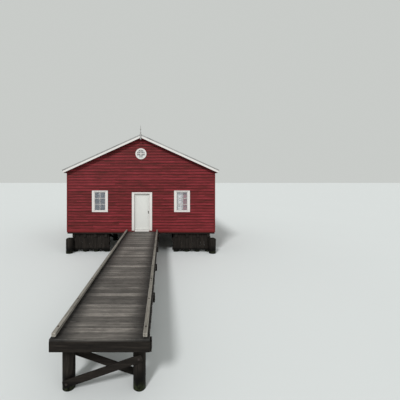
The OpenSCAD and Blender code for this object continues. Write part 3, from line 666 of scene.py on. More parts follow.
def zinc_sheet(name, colour, light, dark, rust=0.12, rough=0.42):
    """Weathered galvanised or painted sheet, with spangle, run marks and a little rust."""
    material, tree, pins = shader(name)
    place = place_of(tree)
    spangle = put(tree, "TexVoronoi", {"Vector": place, "Scale": 34.0}).outputs["Color"]
    cells = part_of(tree, spangle, X)
    runs = put(tree, "Mapping", {"Vector": place, "Scale": (0.7, 7.0, 0.7)}).outputs[0]
    streak = ranged(tree, noise(tree, runs, 1.6, 6.0, 0.65, 0.3), 0.3, 0.7)
    value = sums(tree, "MULTIPLY_ADD", cells, 0.22, sums(tree, "MULTIPLY", streak, 0.72))
    base = toned(tree, (dark, colour, light), value, carried(tree, "tone"), 0.14)
    spots = ranged(tree, noise(tree, place, 3.2, 8.0, 0.7), 0.62, 0.74, 0.0, rust)
    base = mixed(tree, spots, base, rgb(RUST))
    grime = use(tree, "settled_dirt", {"Vector": place, "Amount": 0.3, "Scale": 0.8})["Mask"]
    base = mixed(tree, grime, base, rgb(dark, 0.5))
    gloss = ranged(tree, value, 0.0, 1.0, rough + 0.12, rough - 0.04)
    feed(tree, pins, {"Base Color": base, "Roughness": gloss, "Metallic": 0.55})
    bumped(tree, pins, noise(tree, place, 22.0, 3.0), 0.08, 0.002)
    return material


def iron(name, colour, rust=0.5, rough=0.5, metallic=0.8):
    """Dark hardware with a rusty bloom."""
    material, tree, pins = shader(name)
    place = place_of(tree)
    bloom = ranged(tree, noise(tree, place, 38.0, 6.0, 0.7), 0.42, 0.66, 0.0, rust)
    base = mixed(tree, bloom, rgb(colour), rgb(RUSTY_BLOOM))
    edges = use(tree, "edge_wear", {"Vector": place, "Amount": 0.7, "Scale": 60.0})["Mask"]
    base = mixed(tree, edges, base, rgb([c * 3 + 0.06 for c in colour]))
    gloss = ranged(tree, bloom, 0.0, 0.6, rough, rough + 0.3)
    feed(tree, pins, {"Base Color": base, "Roughness": gloss, "Metallic": metallic})
    bumped(tree, pins, noise(tree, place, 120.0, 4.0), 0.15, 0.001)
    return material


def glass(name, tint_and_sky_reflection, cover, rough):
    """A thin pane whose colour paints the reflection of the pale sky over its own tint. cover is how much
    of what lies behind it is veiled by that painted reflection and haze.
    """
    material, tree, pins = shader(name)
    place = place_of(tree)
    dust = ranged(tree, noise(tree, place, 3.0, 6.0, 0.65), 0.35, 0.75)
    base = mixed(tree, dust, rgb(tint_and_sky_reflection, 0.85), rgb(tint_and_sky_reflection, 1.15))
    gloss = ranged(tree, dust, 0.0, 1.0, rough, rough + 0.1)
    feed(tree, pins, {"Base Color": base, "Roughness": gloss, "Alpha": cover, "Specular IOR Level": 1.0})
    bumped(tree, pins, noise(tree, place, 2.2, 2.0), 0.12, 0.004)
    return material


def cloth(name, colour, shade):
    """Plain woven curtain cloth with a fine weave and faint creases darkened with painted shade."""
    material, tree, pins = shader(name)
    place = place_of(tree)
    threads = {"Vector": place, "Scale": 160.0, "Distortion": 0.4}
    across, down = (put(tree, "TexWave", threads, bands_direction=way).outputs["Fac"] for way in "XZ")
    weave = sums(tree, "MULTIPLY", across, down)
    crease = noise(tree, place, 7.0, 5.0, 0.6)
    base = mixed(tree, ranged(tree, crease, 0.3, 0.75), rgb(colour), rgb(shade))
    base = mixed(tree, sums(tree, "MULTIPLY", weave, 0.15), base, rgb(shade))
    feed(tree, pins, {"Base Color": base, "Roughness": 0.9, "Sheen Weight": 0.25})
    bumped(tree, pins, sums(tree, "MULTIPLY_ADD", crease, 2.0, weave), 0.3, 0.001)
    return material


def stage_floor(name, colour):
    """The pale floor round the building."""
    material, tree, pins = shader(name)
    base = mixed(tree, noise(tree, place_of(tree), 0.15, 3.0), rgb(colour), rgb(colour, 0.97))
    feed(tree, pins, {"Base Color": base, "Roughness": 0.9})
    return material


def tints(colour, up=1.25, down=0.7):
    """A colour with its lighter and darker neighbours."""
    return colour, [min(1, c * up) for c in colour], [c * down for c in colour]


def weathered_red(colour):
    """The boards' red with a pinker, faded light tone and a browner dark one."""
    red, green, blue = colour
    return colour, (red * 1.5, green * 1.75, blue * 1.75), (red * 0.48, green * 0.7, blue * 0.42)


def weathered_grey(colour):
    """The deck's colour between its dark and light tones."""
    return [c * 0.32 for c in colour], colour, [min(1, c * 3.0) for c in colour]


def jetty_middle():
    """The jetty's middle line, as x."""
    return middle_of(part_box("jetty_deck")).x


# Bare timbers, each with its dark, middle and light tone
# Wet timber, made darker still to paint the shade under the house and the jetty
WET_TIMBER_WITH_PAINTED_SHADE = ((0.005, 0.0042, 0.0038), (0.0125, 0.0104, 0.0088), (0.03, 0.025, 0.021))
KERB_TIMBER = ((0.085, 0.076, 0.064), (0.175, 0.162, 0.14), (0.29, 0.27, 0.238))
NEW_TIMBER = ((0.16, 0.105, 0.062), (0.3, 0.21, 0.13), (0.42, 0.31, 0.2))
LINING = ((0.2, 0.15, 0.1), (0.32, 0.25, 0.18), (0.42, 0.34, 0.25))
# Sheets, each with its own colour, its light tone and its dark tone
ROOF_ZINC = ((0.33, 0.34, 0.34), (0.46, 0.47, 0.47), (0.2, 0.205, 0.2))
FLASHING_ZINC = ((0.27, 0.27, 0.265), (0.4, 0.4, 0.39), (0.13, 0.13, 0.13))
FINIAL_GREY = (0.27, 0.262, 0.255)
# Dark grey putty and beads that paint the shade lines round the panes and beside the glazing bars
PUTTY_SHADE_GREY = (0.11, 0.105, 0.115)
# Half the width of the path that feet keep pale along the jetty; the deck darkens towards the kerbs beyond
# it
WORN_HALF = 0.86


def finish_table():
    """Every finish by its name: what makes it, its colours, and its other values."""
    paint = bpy.context.scene.boathouse_paint
    return {
        "red_boards": (
            painted, weathered_red(paint.boards),
            dict(streaks=1.3, share=0.3, rough=0.52, laps=True, wear=0.12, shine=0.14,
                 under=(0.1, 0.045, 0.04)),
        ),
        "red_trim": (
            painted, tints(paint.base_board, 1.2, 0.75),
            dict(streaks=0.7, wear=0.2, under=(0.12, 0.06, 0.05), shine=0.16),
        ),
        "red_trim_cad": (painted, tints(paint.boards, 1.2, 0.75), dict(cad=True)),
        "white_paint": (painted, tints(paint.trim, 1.08, 0.86), dict(streaks=0.35, dirt=0.22)),
        "door_paint": (painted, tints(paint.door, 1.06, 0.9), dict(streaks=0.3, dirt=0.12, rough=0.42)),
        "finial_paint": (painted, tints(FINIAL_GREY, 1.3, 0.6), dict(streaks=0.9, dirt=0.5, cad=True)),
        "grey_putty": (painted, tints(PUTTY_SHADE_GREY, 1.2, 0.7), dict(wear=0.0, dirt=0.5)),
        "dark_log": (
            timber, WET_TIMBER_WITH_PAINTED_SHADE,
            dict(stretch=9.0, scale=1.6, wet=(0.2, 0.3), bump=0.9, rough=0.82),
        ),
        "dark_beam": (
            timber, WET_TIMBER_WITH_PAINTED_SHADE,
            dict(stretch=16.0, scale=1.4, wet=(0.12, 0.2), bump=0.7, rough=0.82),
        ),
        "deck_board": (
            timber, weathered_grey(paint.deck),
            dict(stretch=22.0, scale=1.3, rough=0.62, share=0.5, bump=0.7, wear=0.5, edge_shade=0.6,
                 dirt=0.3, worn_path=(jetty_middle(), WORN_HALF)),
        ),
        "kerb_timber": (
            timber, KERB_TIMBER,
            dict(stretch=20.0, scale=1.2, rough=0.72, bump=0.6, dirt=0.3, wear=0.5),
        ),
        "new_timber": (
            timber, NEW_TIMBER,
            dict(stretch=18.0, scale=1.2, rough=0.7, share=0.2, dirt=0.15, wear=0.1),
        ),
        "wall_lining": (
            timber, LINING,
            dict(stretch=12.0, scale=1.0, rough=0.7, dirt=0.1, wear=0.0, cad_axis=X),
        ),
        "roof_zinc": (zinc_sheet, ROOF_ZINC, {}),
        "flashing_zinc": (zinc_sheet, FLASHING_ZINC, dict(rust=0.3)),
        "dark_iron": (iron, ((0.035, 0.033, 0.032),), {}),
        "hinge_steel": (iron, ((0.3, 0.29, 0.28),), dict(rust=0.25, rough=0.35)),
        "screw_zinc": (iron, ((0.34, 0.34, 0.33),), dict(rust=0.35, rough=0.4)),
        "rod_paint": (iron, ((0.45, 0.43, 0.39),), dict(rust=0.1, metallic=0.2)),
        # The panes' colours paint the pale sky's reflection with the glass's own tint
        "window_glass": (glass, ((0.36, 0.39, 0.44),), dict(cover=0.22, rough=0.05)),
        "opal_glass": (glass, ((0.62, 0.63, 0.63),), dict(cover=0.85, rough=0.3)),
        "white_cloth": (cloth, ((0.97, 0.96, 0.93), (0.9, 0.89, 0.87)), {}),
        "red_cloth": (cloth, ((0.46, 0.075, 0.06), (0.3, 0.045, 0.035)), {}),
    }


MATERIALS = {}


def finish(name):
    """A finish by name, made once."""
    if name not in MATERIALS:
        maker, colours, values = finish_table()[name]
        MATERIALS[name] = maker(name, *colours, **values)
    return MATERIALS[name]


def set_finish(node, name):
    """Gives a CAD piece a finish."""
    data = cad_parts[node].data
    data.materials.clear()
    data.materials.append(finish(name))
    for polygon in data.polygons:
        polygon.material_index = 0


# ---- lapped boards ----


# How far a board reaches up behind the next one
LAP = 0.018
# Half the gap between the ends of two boards, and how far a joint strays from even lengths
END_GAP = 0.0012
STRAY = 0.35
# No course, slice or piece of board is made smaller than these, nor is a joint put nearer to an end
LEAST_COURSE, LEAST_SLICE, LEAST_PIECE, LEAST_END = 0.02, 0.0015, 0.002, 0.25
# How many slices follow the edge of a round hole in each course
ROUND_SLICES = 6


def board_outline(foot, show, face):
    """A rebated board's section as (out, z), from its foot. face is how far its foot stands out."""
    thin, step, round_edge, seat = 0.010, 0.0015, 0.003, 0.0005
    top = foot + show
    return [
        (thin, foot), (face - round_edge, foot), (face, foot + round_edge), (thin + seat, top),
        (thin - step, top + LAP), (step, top + LAP), (step, foot + LAP + 0.004), (thin, foot + LAP + 0.002),
    ]


def cut_outline(outline, low, high):
    """The part of an outline between two heights."""
    hair = 1e-9
    for limit, keep in ((low, 1), (high, -1)):
        cut = []
        for a, b in zip(outline, outline[1:] + outline[:1]):
            inside_a, inside_b = keep * (a[1] - limit) >= -hair, keep * (b[1] - limit) >= -hair
            if inside_a:
                cut.append(a)
            if inside_a != inside_b:
                t = (limit - a[1]) / (b[1] - a[1])
                cut.append((a[0] + t * (b[0] - a[0]), limit))
        outline = cut
        if len(outline) < 3:
            return []
    return outline


class Opening:
    """A hole in the boards: a rectangle, or a disc when it has a radius."""

    def __init__(self, left, right, low, high, radius=0.0):
        self.left, self.right, self.low, self.high, self.radius = left, right, low, high, radius

    def edges(self, z):
        """The left and right edge of the hole at a height."""
        if not self.radius:
            return self.left, self.right
        middle, height = (self.left + self.right) / 2, (self.low + self.high) / 2
        half = math.sqrt(max(0.0, self.radius**2 - (z - height) ** 2))
        return middle - half, middle + half


def heights_of(low, high, openings, kinks):
    """Where a course is sliced: at a hole's edges, through a disc, and where the wall's outline bends."""
    cuts = {low, high}
    for hole in openings:
        if hole.high <= low or hole.low >= high:
            continue
        a, b = max(low, hole.low), min(high, hole.high)
        cuts.update((a, b))
        if hole.radius:
            cuts.update(a + (b - a) * i / ROUND_SLICES for i in range(1, ROUND_SLICES))
    cuts.update(k for k in kinks if low < k < high)
    found = sorted(cuts)
    return [(a, b) for a, b in zip(found, found[1:]) if b - a > LEAST_SLICE]


def clad(shape, laps, wall, reach, top, openings, kinks):
    """Covers a wall with lapped boards. reach(z) is half the width that they cover at a height."""
    sizes = bpy.context.scene.boathouse_boards
    show, longest = sizes.show, sizes.longest
    foot = WALL_FOOT
    while foot < top - LEAST_COURSE:
        offset = shape.random.uniform(-longest / 2, longest / 2)
        joints = [offset + longest * n for n in range(-4, 5)]
        joints = [j + shape.random.uniform(-STRAY, STRAY) for j in joints]
        tones = [shape.random.uniform(-1, 1) for _ in range(len(joints) + 1)]
        outline = board_outline(foot, show, sizes.face)
        for low, high in heights_of(foot, min(foot + show + LAP, top), openings, kinks):
            section = cut_outline(outline, low, high)
            if not section:
                continue
            for (la, ra), (lb, rb) in spans_between(openings, low, high, reach(low), reach(high)):
                stops = [j for j in joints if max(la, lb) + LEAST_END < j < min(ra, rb) - LEAST_END]
                left = (la, lb)
                for right in [(j - END_GAP, j - END_GAP) for j in stops] + [(ra, rb)]:
                    centre = (left[0] + right[0]) / 2
                    tone = tones[sum(j < centre for j in joints)]
                    add_board(shape, laps, wall, section, (low, high), left, right, foot, tone)
                    left = (right[0] + 2 * END_GAP, right[1] + 2 * END_GAP)
        foot += show


def spans_between(openings, low, high, reach_low, reach_high):
    """The left and right ends of the boards between the holes, at a slice's low and high edge."""
    hair = 1e-6
    spans = [((-reach_low, reach_low), (-reach_high, reach_high))]
    middle = (low + high) / 2
    for hole in openings:
        if not hole.low - hair <= middle <= hole.high + hair:
            continue
        a, b = hole.edges(low), hole.edges(high)
        split = []
        for (la, ra), (lb, rb) in spans:
            if (b[0] + a[0]) / 2 > (ra + rb) / 2 or (a[1] + b[1]) / 2 < (la + lb) / 2:
                split.append(((la, ra), (lb, rb)))
            else:
                split += [((la, a[0]), (lb, b[0])), ((a[1], ra), (b[1], rb))]
        spans = split
    return spans


def add_board(shape, laps, wall, section, heights, left, right, foot, tone):
    """One piece of board between its two ends, each given at the slice's low and high edge."""
    low, high = heights
    show = bpy.context.scene.boathouse_boards.show
    tone_shift = 40
    ends = []
    for end in (left, right):
        outline = []
        for out, z in section:
            t = (z - low) / (high - low)
            outline.append((end[0] + (end[1] - end[0]) * t, out, z))
        ends.append(outline)
    if min(r[0] - l[0] for l, r in zip(*ends)) < LEAST_PIECE:
        return
    grain = [(u, z - foot, tone_shift * tone) for u, _, z in ends[0] + ends[1]]
    shape.prism([wall.place(p) for p in ends[0]], [wall.place(p) for p in ends[1]], tone, grain)
    laps += [min(1.0, max(0.0, (z - foot) / show)) for _, _, z in ends[0] + ends[1]]


# ---- settings ----


class BoathousePaint(bpy.types.PropertyGroup):
    """Colours of the painted boards, trim and deck."""

    boards: FloatVectorProperty(
        name="Boards", description="Paint of the lapped boards", subtype="COLOR", size=3, min=0, max=1,
        default=(0.134, 0.0125, 0.0162),
    )
    base_board: FloatVectorProperty(
        name="Base board", description="Paint of the board along the foot of the walls", subtype="COLOR",
        size=3, min=0, max=1, default=(0.109, 0.0088, 0.0090),
    )
    trim: FloatVectorProperty(
        name="Trim", description="Paint of casings, barge boards and fascias", subtype="COLOR", size=3,
        min=0, max=1, default=(0.58, 0.56, 0.54),
    )
    door: FloatVectorProperty(
        name="Door", description="Paint of the door leaf", subtype="COLOR", size=3, min=0, max=1,
        default=(0.555, 0.555, 0.53),
    )
    deck: FloatVectorProperty(
        name="Deck", description="Weathered colour of the jetty's boards", subtype="COLOR", size=3,
        min=0, max=1, default=(0.086, 0.078, 0.070),
    )


class BoathouseBoards(bpy.types.PropertyGroup):
    """Sizes of the boards on walls, floor and jetty."""

    show: FloatProperty(
        name="Lap spacing", description="How much of each lapped board shows", default=0.157, min=0.1,
        max=0.25, unit="LENGTH",
    )
    face: FloatProperty(
        name="Board foot", description="How far the foot of a lapped board stands out from the frame",
        default=0.024, min=0.016, max=0.03, unit="LENGTH",
    )
    longest: FloatProperty(
        name="Longest board", description="Greatest length of a lapped board", default=3.9, min=2, max=6,
        unit="LENGTH",
    )
    deck_board: FloatProperty(
        name="Deck board", description="Width of a jetty board with its gap", default=0.215, min=0.12,
        max=0.3, unit="LENGTH",
    )
    deck_gap: FloatProperty(
        name="Deck gap", description="Gap between jetty boards", default=0.012, min=0.003, max=0.02,
        unit="LENGTH",
    )
    floor_board: FloatProperty(
        name="Floor board", description="Width of a floor board inside", default=0.146, min=0.08, max=0.25,
        unit="LENGTH",
    )
    shade_screen_boards: IntProperty(
        name="Screen boards", description="Upright boards in each screen under the front wall", default=9,
        min=4, max=16,
    )


class BoathouseRoof(bpy.types.PropertyGroup):
    """Sizes of the roof sheets."""

    wave: FloatProperty(
        name="Corrugation", description="Width of one corrugation", default=0.0762, min=0.05, max=0.12,
        unit="LENGTH",
    )
    depth: FloatProperty(
        name="Depth", description="Depth of the corrugations", default=0.016, min=0.008, max=0.018,
        unit="LENGTH",
    )
    cover: IntProperty(
        name="Sheet width", description="Corrugations that one sheet covers", default=10, min=4, max=14,
    )


class BoathouseStage(bpy.types.PropertyGroup):
    """Camera, light and floor."""

    distance: FloatProperty(
        name="Camera distance", description="From the camera to the front boards", default=16.0, min=5,
        max=40, unit="LENGTH",
    )
    sideways: FloatProperty(
        name="Camera offset", description="How far right of the middle the camera stands", default=1.224,
        min=-5, max=5, unit="LENGTH",
    )
    rise: FloatProperty(
        name="Camera rise", description="Height of the camera above the foot of the boards", default=2.986,
        min=0, max=10, unit="LENGTH",
    )
    lens: FloatProperty(
        name="Lens", description="Focal length in millimetres", default=25.92, min=15, max=80,
    )
    shift_x: FloatProperty(
        name="Shift across", description="Lens shift sideways", default=0.0925, min=-1, max=1,
    )
    shift_y: FloatProperty(
        name="Shift up", description="Lens shift upwards", default=-0.0535, min=-1, max=1,
    )
    sun: FloatProperty(
        name="Key light", description="Strength of the soft key light", default=2.42, min=0, max=10,
    )
    sky: FloatProperty(
        name="Fill light", description="Strength of the pale surroundings", default=0.66, min=0, max=5,
    )
    pale: FloatVectorProperty(
        name="Surroundings", description="Colour of the surroundings", subtype="COLOR", size=3,
        min=0, max=1, default=(0.88, 0.91, 0.88),
    )
    floor: FloatVectorProperty(
        name="Floor", description="Colour of the floor", subtype="COLOR", size=3, min=0, max=1,
        default=(0.62, 0.64, 0.64),
    )


# ---- operators ----


def run_all(steps):
    """Runs the making functions of an operator."""
    for step in steps:
        step()
    return {"FINISHED"}


# The boards of a gable end this far below its slope, and the top course this far below its ridge
UNDER_SLOPE, UNDER_RIDGE = 0.003, 0.03
# The side walls' boards end this far below the top of their frame, clear of the roof
UNDER_EAVES = 0.07


def gable_half(z):
    """Half the width of a gable at a height, just under the battens."""
    return (RIDGE_WALL_Z - UNDER_SLOPE - z) / math.tan(PITCH)


def wall_openings(wall):
    """The holes for windows and round windows in a wall's boards."""
    holes = []
    for low, high in wall.boxes("window_casings"):
        holes.append(Opening(low[0] - GAP, high[0] + GAP, low[2] - GAP, high[2] + GAP))
    for low, high in wall.boxes("round_window_frames"):
        radius = (high[0] - low[0]) / 2 + GAP
        holes.append(Opening(low[0], high[0], low[2] - GAP, high[2] + GAP, radius))
    return holes


def make_boards():
    """Lapped boards on all four walls."""
    corner = solid_boxes("corner_boards")[0]
    stop = max(0.0, corner[1].x + HALF) + GAP
    head_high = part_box("door_head")[1]
    jamb_low, jamb_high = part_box("door_jambs")
    for name, wall in WALLS.items():
        shape, laps = Shape("boards_" + name), []
        holes = wall_openings(wall)
        end = wall.half - stop
        if name in ("front", "rear"):
            top, kinks = RIDGE_WALL_Z - UNDER_RIDGE, [RIDGE_WALL_Z - UNDER_SLOPE - end * math.tan(PITCH)]
            reach = lambda z, end=end: min(end, gable_half(z))
        else:
            top, kinks = SIDE_WALL_Z - UNDER_EAVES, []
            reach = lambda z, end=end: end
        if name == "front":
            holes.append(Opening(jamb_low.x - GAP, jamb_high.x + GAP, WALL_FOOT - 1, head_high.z + GAP))
        clad(shape, laps, wall, reach, top, holes, kinks)
        piece = shape.build("weatherboards_" + name, finish("red_boards"), "red_boards")
        add_values(piece.data, "lap", "POINT", laps)


def make_wall_frames():
    """Bare timber on the walls' inner faces, and eased painted corner and base boards."""
    for node in ("front_wall_left", "front_wall_right", "front_wall_over_door", "front_gable", "rear_wall",
                 "left_wall", "right_wall"):
        set_finish(node, "wall_lining")
    set_finish("eaves_blocks", "red_trim_cad")
    eased("base_boards", "wall_base_boards", finish("red_trim"), X, 0.003)
    eased("corner_stops", "corner_boards", finish("red_trim"), Z, 0.003)


class BOATHOUSE_OT_walls(bpy.types.Operator):
    """Clad the walls with lapped boards"""

    bl_idname = "boathouse.walls"
    bl_label = "Walls"

    def execute(self, context):
        return run_all((make_boards, make_wall_frames))


def nearest(boxes, u):
    """The box whose middle lies nearest to a place along the wall."""
    return min(boxes, key=lambda b: abs((b[0][0] + b[1][0]) / 2 - u))


def make_windows():
    """Casing boards, linings, sashes and glazing bars of the ten windows."""
    casings, sashes, bars, putty = Shape("casings"), Shape("sashes"), Shape("bars"), Shape("putty")
    for wall in WALLS.values():
        panes, frames = wall.boxes("window_glass"), wall.boxes("window_sashes")
        for casing in wall.boxes("window_casings"):
            middle = (casing[0][0] + casing[1][0]) / 2
            sash, pane = nearest(frames, middle), nearest(panes, middle)
            add_casing(casings, wall.place, casing, sash)
            add_sash(sashes, wall.place, sash, pane)
            add_bars(bars, putty, wall.place, sash, pane)
    white = finish("white_paint")
    casings.build("window_casing_boards", white, "white_trim", replaces=("window_casings",))
    sashes.build("window_sash_frames", white, "white_trim", replaces=("window_sashes",))
    bars.build("glazing_bars", white, "white_trim")
    putty.build("putty_shade_lines", finish("grey_putty"), "white_trim")
    set_finish("window_glass", "window_glass")


def add_casing(shape, place, casing, sash):
    """The casing boards on the wall's face, and the lining of the opening behind them."""
    (a, back, low), (b, face, high) = casing
    (s0, _, z0), (s1, _, z1) = sash
    eased_by, side_back, lining = 0.004, 0.002, 0.02
    for bottom, top in ((z1, high), (low, z0)):
        shape.bar((a, 0, bottom), (b, face, top), X, eased_by, place)
    for left, right in ((a, s0), (s1, b)):
        shape.bar((left, 0, z0), (right, face - side_back, z1), Z, eased_by, place)
    for left, right in ((s0 - lining, s0), (s1, s1 + lining)):
        shape.bar((left, back, z0), (right, 0, z1), Z, eased_by / 2, place)
    for bottom, top in ((z0 - lining, z0), (z1, z1 + lining)):
        shape.bar((s0 - lining, back, bottom), (s1 + lining, 0, top), X, eased_by / 2, place)


def add_sash(shape, place, sash, pane):
    """The four sides of a sash round its glass."""
    (s0, back, low), (s1, face, high) = sash
    (p0, _, bottom), (p1, _, top) = pane
    eased_by, rail_back = 0.004, 0.0005
    for left, right in ((s0, p0), (p1, s1)):
        shape.bar((left, back, low), (right, face, high), Z, eased_by, place)
    for z0, z1 in ((low, bottom), (top, high)):
        shape.bar((p0, back, z0), (p1, face - rail_back, z1), X, eased_by, place)


def add_bars(bars, putty, place, sash, pane):
    """Glazing bars on both faces of the glass, and the dark putty round each of the six panes, which paints
    the shade lines round the panes and beside the bars.
    """
    back, face = sash[0][1], sash[1][1]
    (p0, glass_back, low), (p1, glass_face, high) = pane
    half, line, eased_by, rail_back = 0.011, 0.013, 0.003, 0.0005
    middle = (p0 + p1) / 2
    columns = ((p0, middle - half), (middle + half, p1))
    levels = [low + (high - low) * n / 3 for n in (1, 2)]
    for out0, out1 in ((glass_face, face - 0.004), (back + 0.006, glass_back)):
        bars.bar((middle - half, out0, low), (middle + half, out1, high), Z, eased_by, place)
        for z in levels:
            for left, right in columns:
                bars.bar((left, out0, z - half), (right, out1 - rail_back, z + half), X, eased_by, place)
    rows = list(zip([low] + [z + half for z in levels], [z - half for z in levels] + [high]))
    upright_face, level_face = glass_face + 0.009, glass_face + 0.008
    for left, right in columns:
        for bottom, top in rows:
            for u0, u1 in ((left, left + line), (right - line, right)):
                putty.bar((u0, glass_face, bottom), (u1, upright_face, top), Z, eased_by, place)
            for z0, z1 in ((bottom, bottom + line), (top - line, top)):
                putty.bar((left + line, glass_face, z0), (right - line, level_face, z1), X, eased_by, place)


def add_cross(shape, place, middle, half, reach, outs, cut, sunk=0.0):
    """An upright bar over the whole height of a round window, and a level one on each side of it."""
    u, z = middle
    shape.bar((u - half, outs[0], z - reach), (u + half, outs[1], z + reach), Z, cut, place)
    for side in (-1, 1):
        left, right = sorted((u + side * half, u + side * reach))
        shape.bar((left, outs[0], z - half), (right, outs[1] - sunk, z + half), X, cut, place)


def make_round_windows():
    """Cross bars of the round windows on broader grey beads that paint the shade lines beside the bars, and
    their rings with eased edges.
    """
    bars, beads = Shape("round_bars"), Shape("round_beads")
    bar_half, bead_half = 0.027, 0.076
    bar_thick, bead_thick = 0.02, 0.006
    for name in ("front", "rear"):
        wall = WALLS[name]
        low, high = wall.boxes("round_window_frames")[0]
        pane_low, pane_high = wall.boxes("round_window_glass")[0]
        middle = ((low[0] + high[0]) / 2, (low[2] + high[2]) / 2)
        radius = (pane_high[0] - pane_low[0]) / 2
        glass_face = pane_high[1]
        bead_face = glass_face + bead_thick
        bar_face = bead_face + bar_thick
        reach = math.sqrt(radius**2 - bead_half**2)
        add_cross(beads, wall.place, middle, bead_half, reach, (glass_face, bead_face), 0.003)
        reach = math.sqrt(radius**2 - bar_half**2)
        add_cross(bars, wall.place, middle, bar_half, reach, (bead_face, bar_face), 0.004, 0.001)
    white = finish("white_paint")
    bars.build("round_window_bars", white, "white_trim")
    beads.build("round_window_shade_beads", finish("grey_putty"), "white_trim")
    eased("round_window_rings", "round_window_frames", white, X, 0.004, 2, smooth=40)
    set_finish("round_window_glass", "opal_glass")


class BOATHOUSE_OT_windows(bpy.types.Operator):
    """Build the casings, sashes, bars and glass of all windows"""

    bl_idname = "boathouse.windows"
    bl_label = "Windows"

    def execute(self, context):
        return run_all((make_windows, make_round_windows))


# Only the weather bar stands in front of the leaf's own thickness
LEAF_THICK = 0.040


def make_leaf():
    """A framed leaf with one sunk panel on each face, and its weather bar."""
    low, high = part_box("door_leaf")
    front, back = high.y - LEAF_THICK, high.y
    stile, top_rail, foot_rail, sink, bead = 0.095, 0.095, 0.2, 0.007, 0.014
    frame_cut, panel_cut, bead_cut = 0.0025, 0.001, 0.004
    left, right = low.x + stile, high.x - stile
    foot, top = low.z + foot_rail, high.z - top_rail
    shape = Shape("door")
    for x0, x1 in ((low.x, left), (right, high.x)):
        shape.bar((x0, front, low.z), (x1, back, high.z), Z, frame_cut)
    for z0, z1 in ((low.z, foot), (top, high.z)):
        shape.bar((left, front, z0), (right, back, z1), X, frame_cut)
    shape.bar((left, front + sink, foot), (right, back - sink, top), Z, panel_cut)
    for y0, y1 in ((front + 0.001, front + sink), (back - sink, back - 0.001)):
        for x0, x1 in ((left, left + bead), (right - bead, right)):
            shape.bar((x0, y0, foot), (x1, y1, top), Z, bead_cut)
        for z0, z1 in ((foot, foot + bead), (top - bead, top)):
            shape.bar((left + bead, y0, z0), (right - bead, y1, z1), X, bead_cut)
    inset, bar_high = 0.022, 0.06
    bar_cut = min(0.008, (front - low.y) / 2.2)
    shape.bar((low.x + inset, low.y, low.z), (high.x - inset, front, low.z + bar_high), X, bar_cut)
    shape.build("door_leaf_framed", finish("door_paint"), "white_door", "front_door", ("door_leaf",))


def make_ironwork():
    """The lock's plates, knobs and hinges."""
    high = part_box("door_leaf")[1]
    front, back = high.y - LEAF_THICK, high.y
    plate = 0.002
    at = middle_of(solid_boxes("door_knobs")[0])
    shape = Shape("lock")
    for y0, y1 in ((front - plate, front), (back, back + plate)):
        shape.bar((at.x - 0.02, y0, at.z - 0.115), (at.x + 0.02, y1, at.z - 0.045), Z, 0.0008)
    shape.bar((high.x, front + 0.01, at.z - 0.09), (high.x + 0.001, back - 0.008, at.z + 0.09), Z, 0.0004)
    shape.build("lock_plates", finish("dark_iron"), "dark_iron", "front_door")
    set_finish("door_knobs", "dark_iron")
    set_finish("door_hinge_pins", "hinge_steel")
    set_finish("door_hinge_knuckles", "hinge_steel")


def make_door_frame():
    """Jambs, head and sill with eased edges."""
    white = finish("white_paint")
    eased("door_jamb_boards", "door_jambs", white, Z, 0.003)
    eased("door_head_boards", "door_head", white, X, 0.003)
    eased("door_sill_step", "door_sill", white, X, 0.005, 2)


class BOATHOUSE_OT_door(bpy.types.Operator):
    """Build the entrance door, its frame and its ironwork"""

    bl_idname = "boathouse.door"
    bl_label = "Door"

    def execute(self, context):
        return run_all((make_leaf, make_ironwork, make_door_frame))


def curtain_rows(box, phase):
    """Rows of points down a gathered curtain, whose folds deepen towards its hem."""
    low, high = box
    width, drop, middle = high.x - low.x, high.z - low.z, (low.y + high.y) / 2
    fold, deep = 0.07, 0.009
    across, down = 150, 24
    rows = []
    for r in range(down + 1):
        t = r / down
        row = []
        for i in range(across + 1):
            s = i / across
            turn = 2 * math.pi * (s * width / fold) + phase
            sway = 0.25 * math.sin(3.1 * s * math.pi + 2 * phase) * t
            gather = deep * (0.62 + 0.38 * t) * (1 + 0.18 * math.sin(5 * s + 9 * phase))
            x = low.x + s * width + 0.004 * math.sin(turn * 2 + t)
            row.append((x, middle + gather * math.sin(turn + sway), high.z - drop * t))
        rows.append(row)
    return rows


def make_curtains():
    """Two gathered curtains on their rod, each with five rings."""
    rod_low, rod_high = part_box("curtain_rod")
    rod_y, rod_z = rod_high.y - 0.009, (rod_low.z + rod_high.z) / 2
    ring_inset, ring_count = 0.02, 5
    rings = Shape("rings")
    kinds = (("curtain_pale", "white_cloth", 0.0), ("curtain_red", "red_cloth", 1.3))
    for (name, cloth_name, phase), box in zip(kinds, solid_boxes("window_curtains")):
        low, high = box
        width, drop = high.x - low.x, high.z - low.z
        piece = soft_grid(name, curtain_rows(box, phase), finish(cloth_name), "curtain_cloth")
        for n in range(ring_count):
            x = low.x + ring_inset + (width - 2 * ring_inset) * n / (ring_count - 1)
            ring_of(rings, (x, rod_y, rod_z))
        if name == "curtain_pale":
            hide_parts("window_curtains")
    rings.build("curtain_rings", finish("rod_paint"), "curtain_pole", smooth=40)
    set_finish("curtain_rod", "rod_paint")


def ring_of(shape, centre, radius=0.0125, wire=0.0016):
    """A small ring round the rod."""
    points, faces = [], []
    big, small = 16, 6
    for i, turn in enumerate(ring_points(big)):
        for j, tilt in enumerate(ring_points(small)):
            r = radius + wire * math.cos(tilt)
            offset = (wire * math.sin(tilt), r * math.cos(turn), r * math.sin(turn))
            points.append([c + o for c, o in zip(centre, offset)])
            here, there = i * small, (i + 1) % big * small
            after = (j + 1) % small
            faces.append([here + j, there + j, there + after, here + after])
    shape.add(points, faces, points, 0)


class BOATHOUSE_OT_curtains(bpy.types.Operator):
    """Hang the curtains behind the right-hand front window"""

    bl_idname = "boathouse.curtains"
    bl_label = "Curtains"

    def execute(self, context):
        return run_all((make_curtains,))


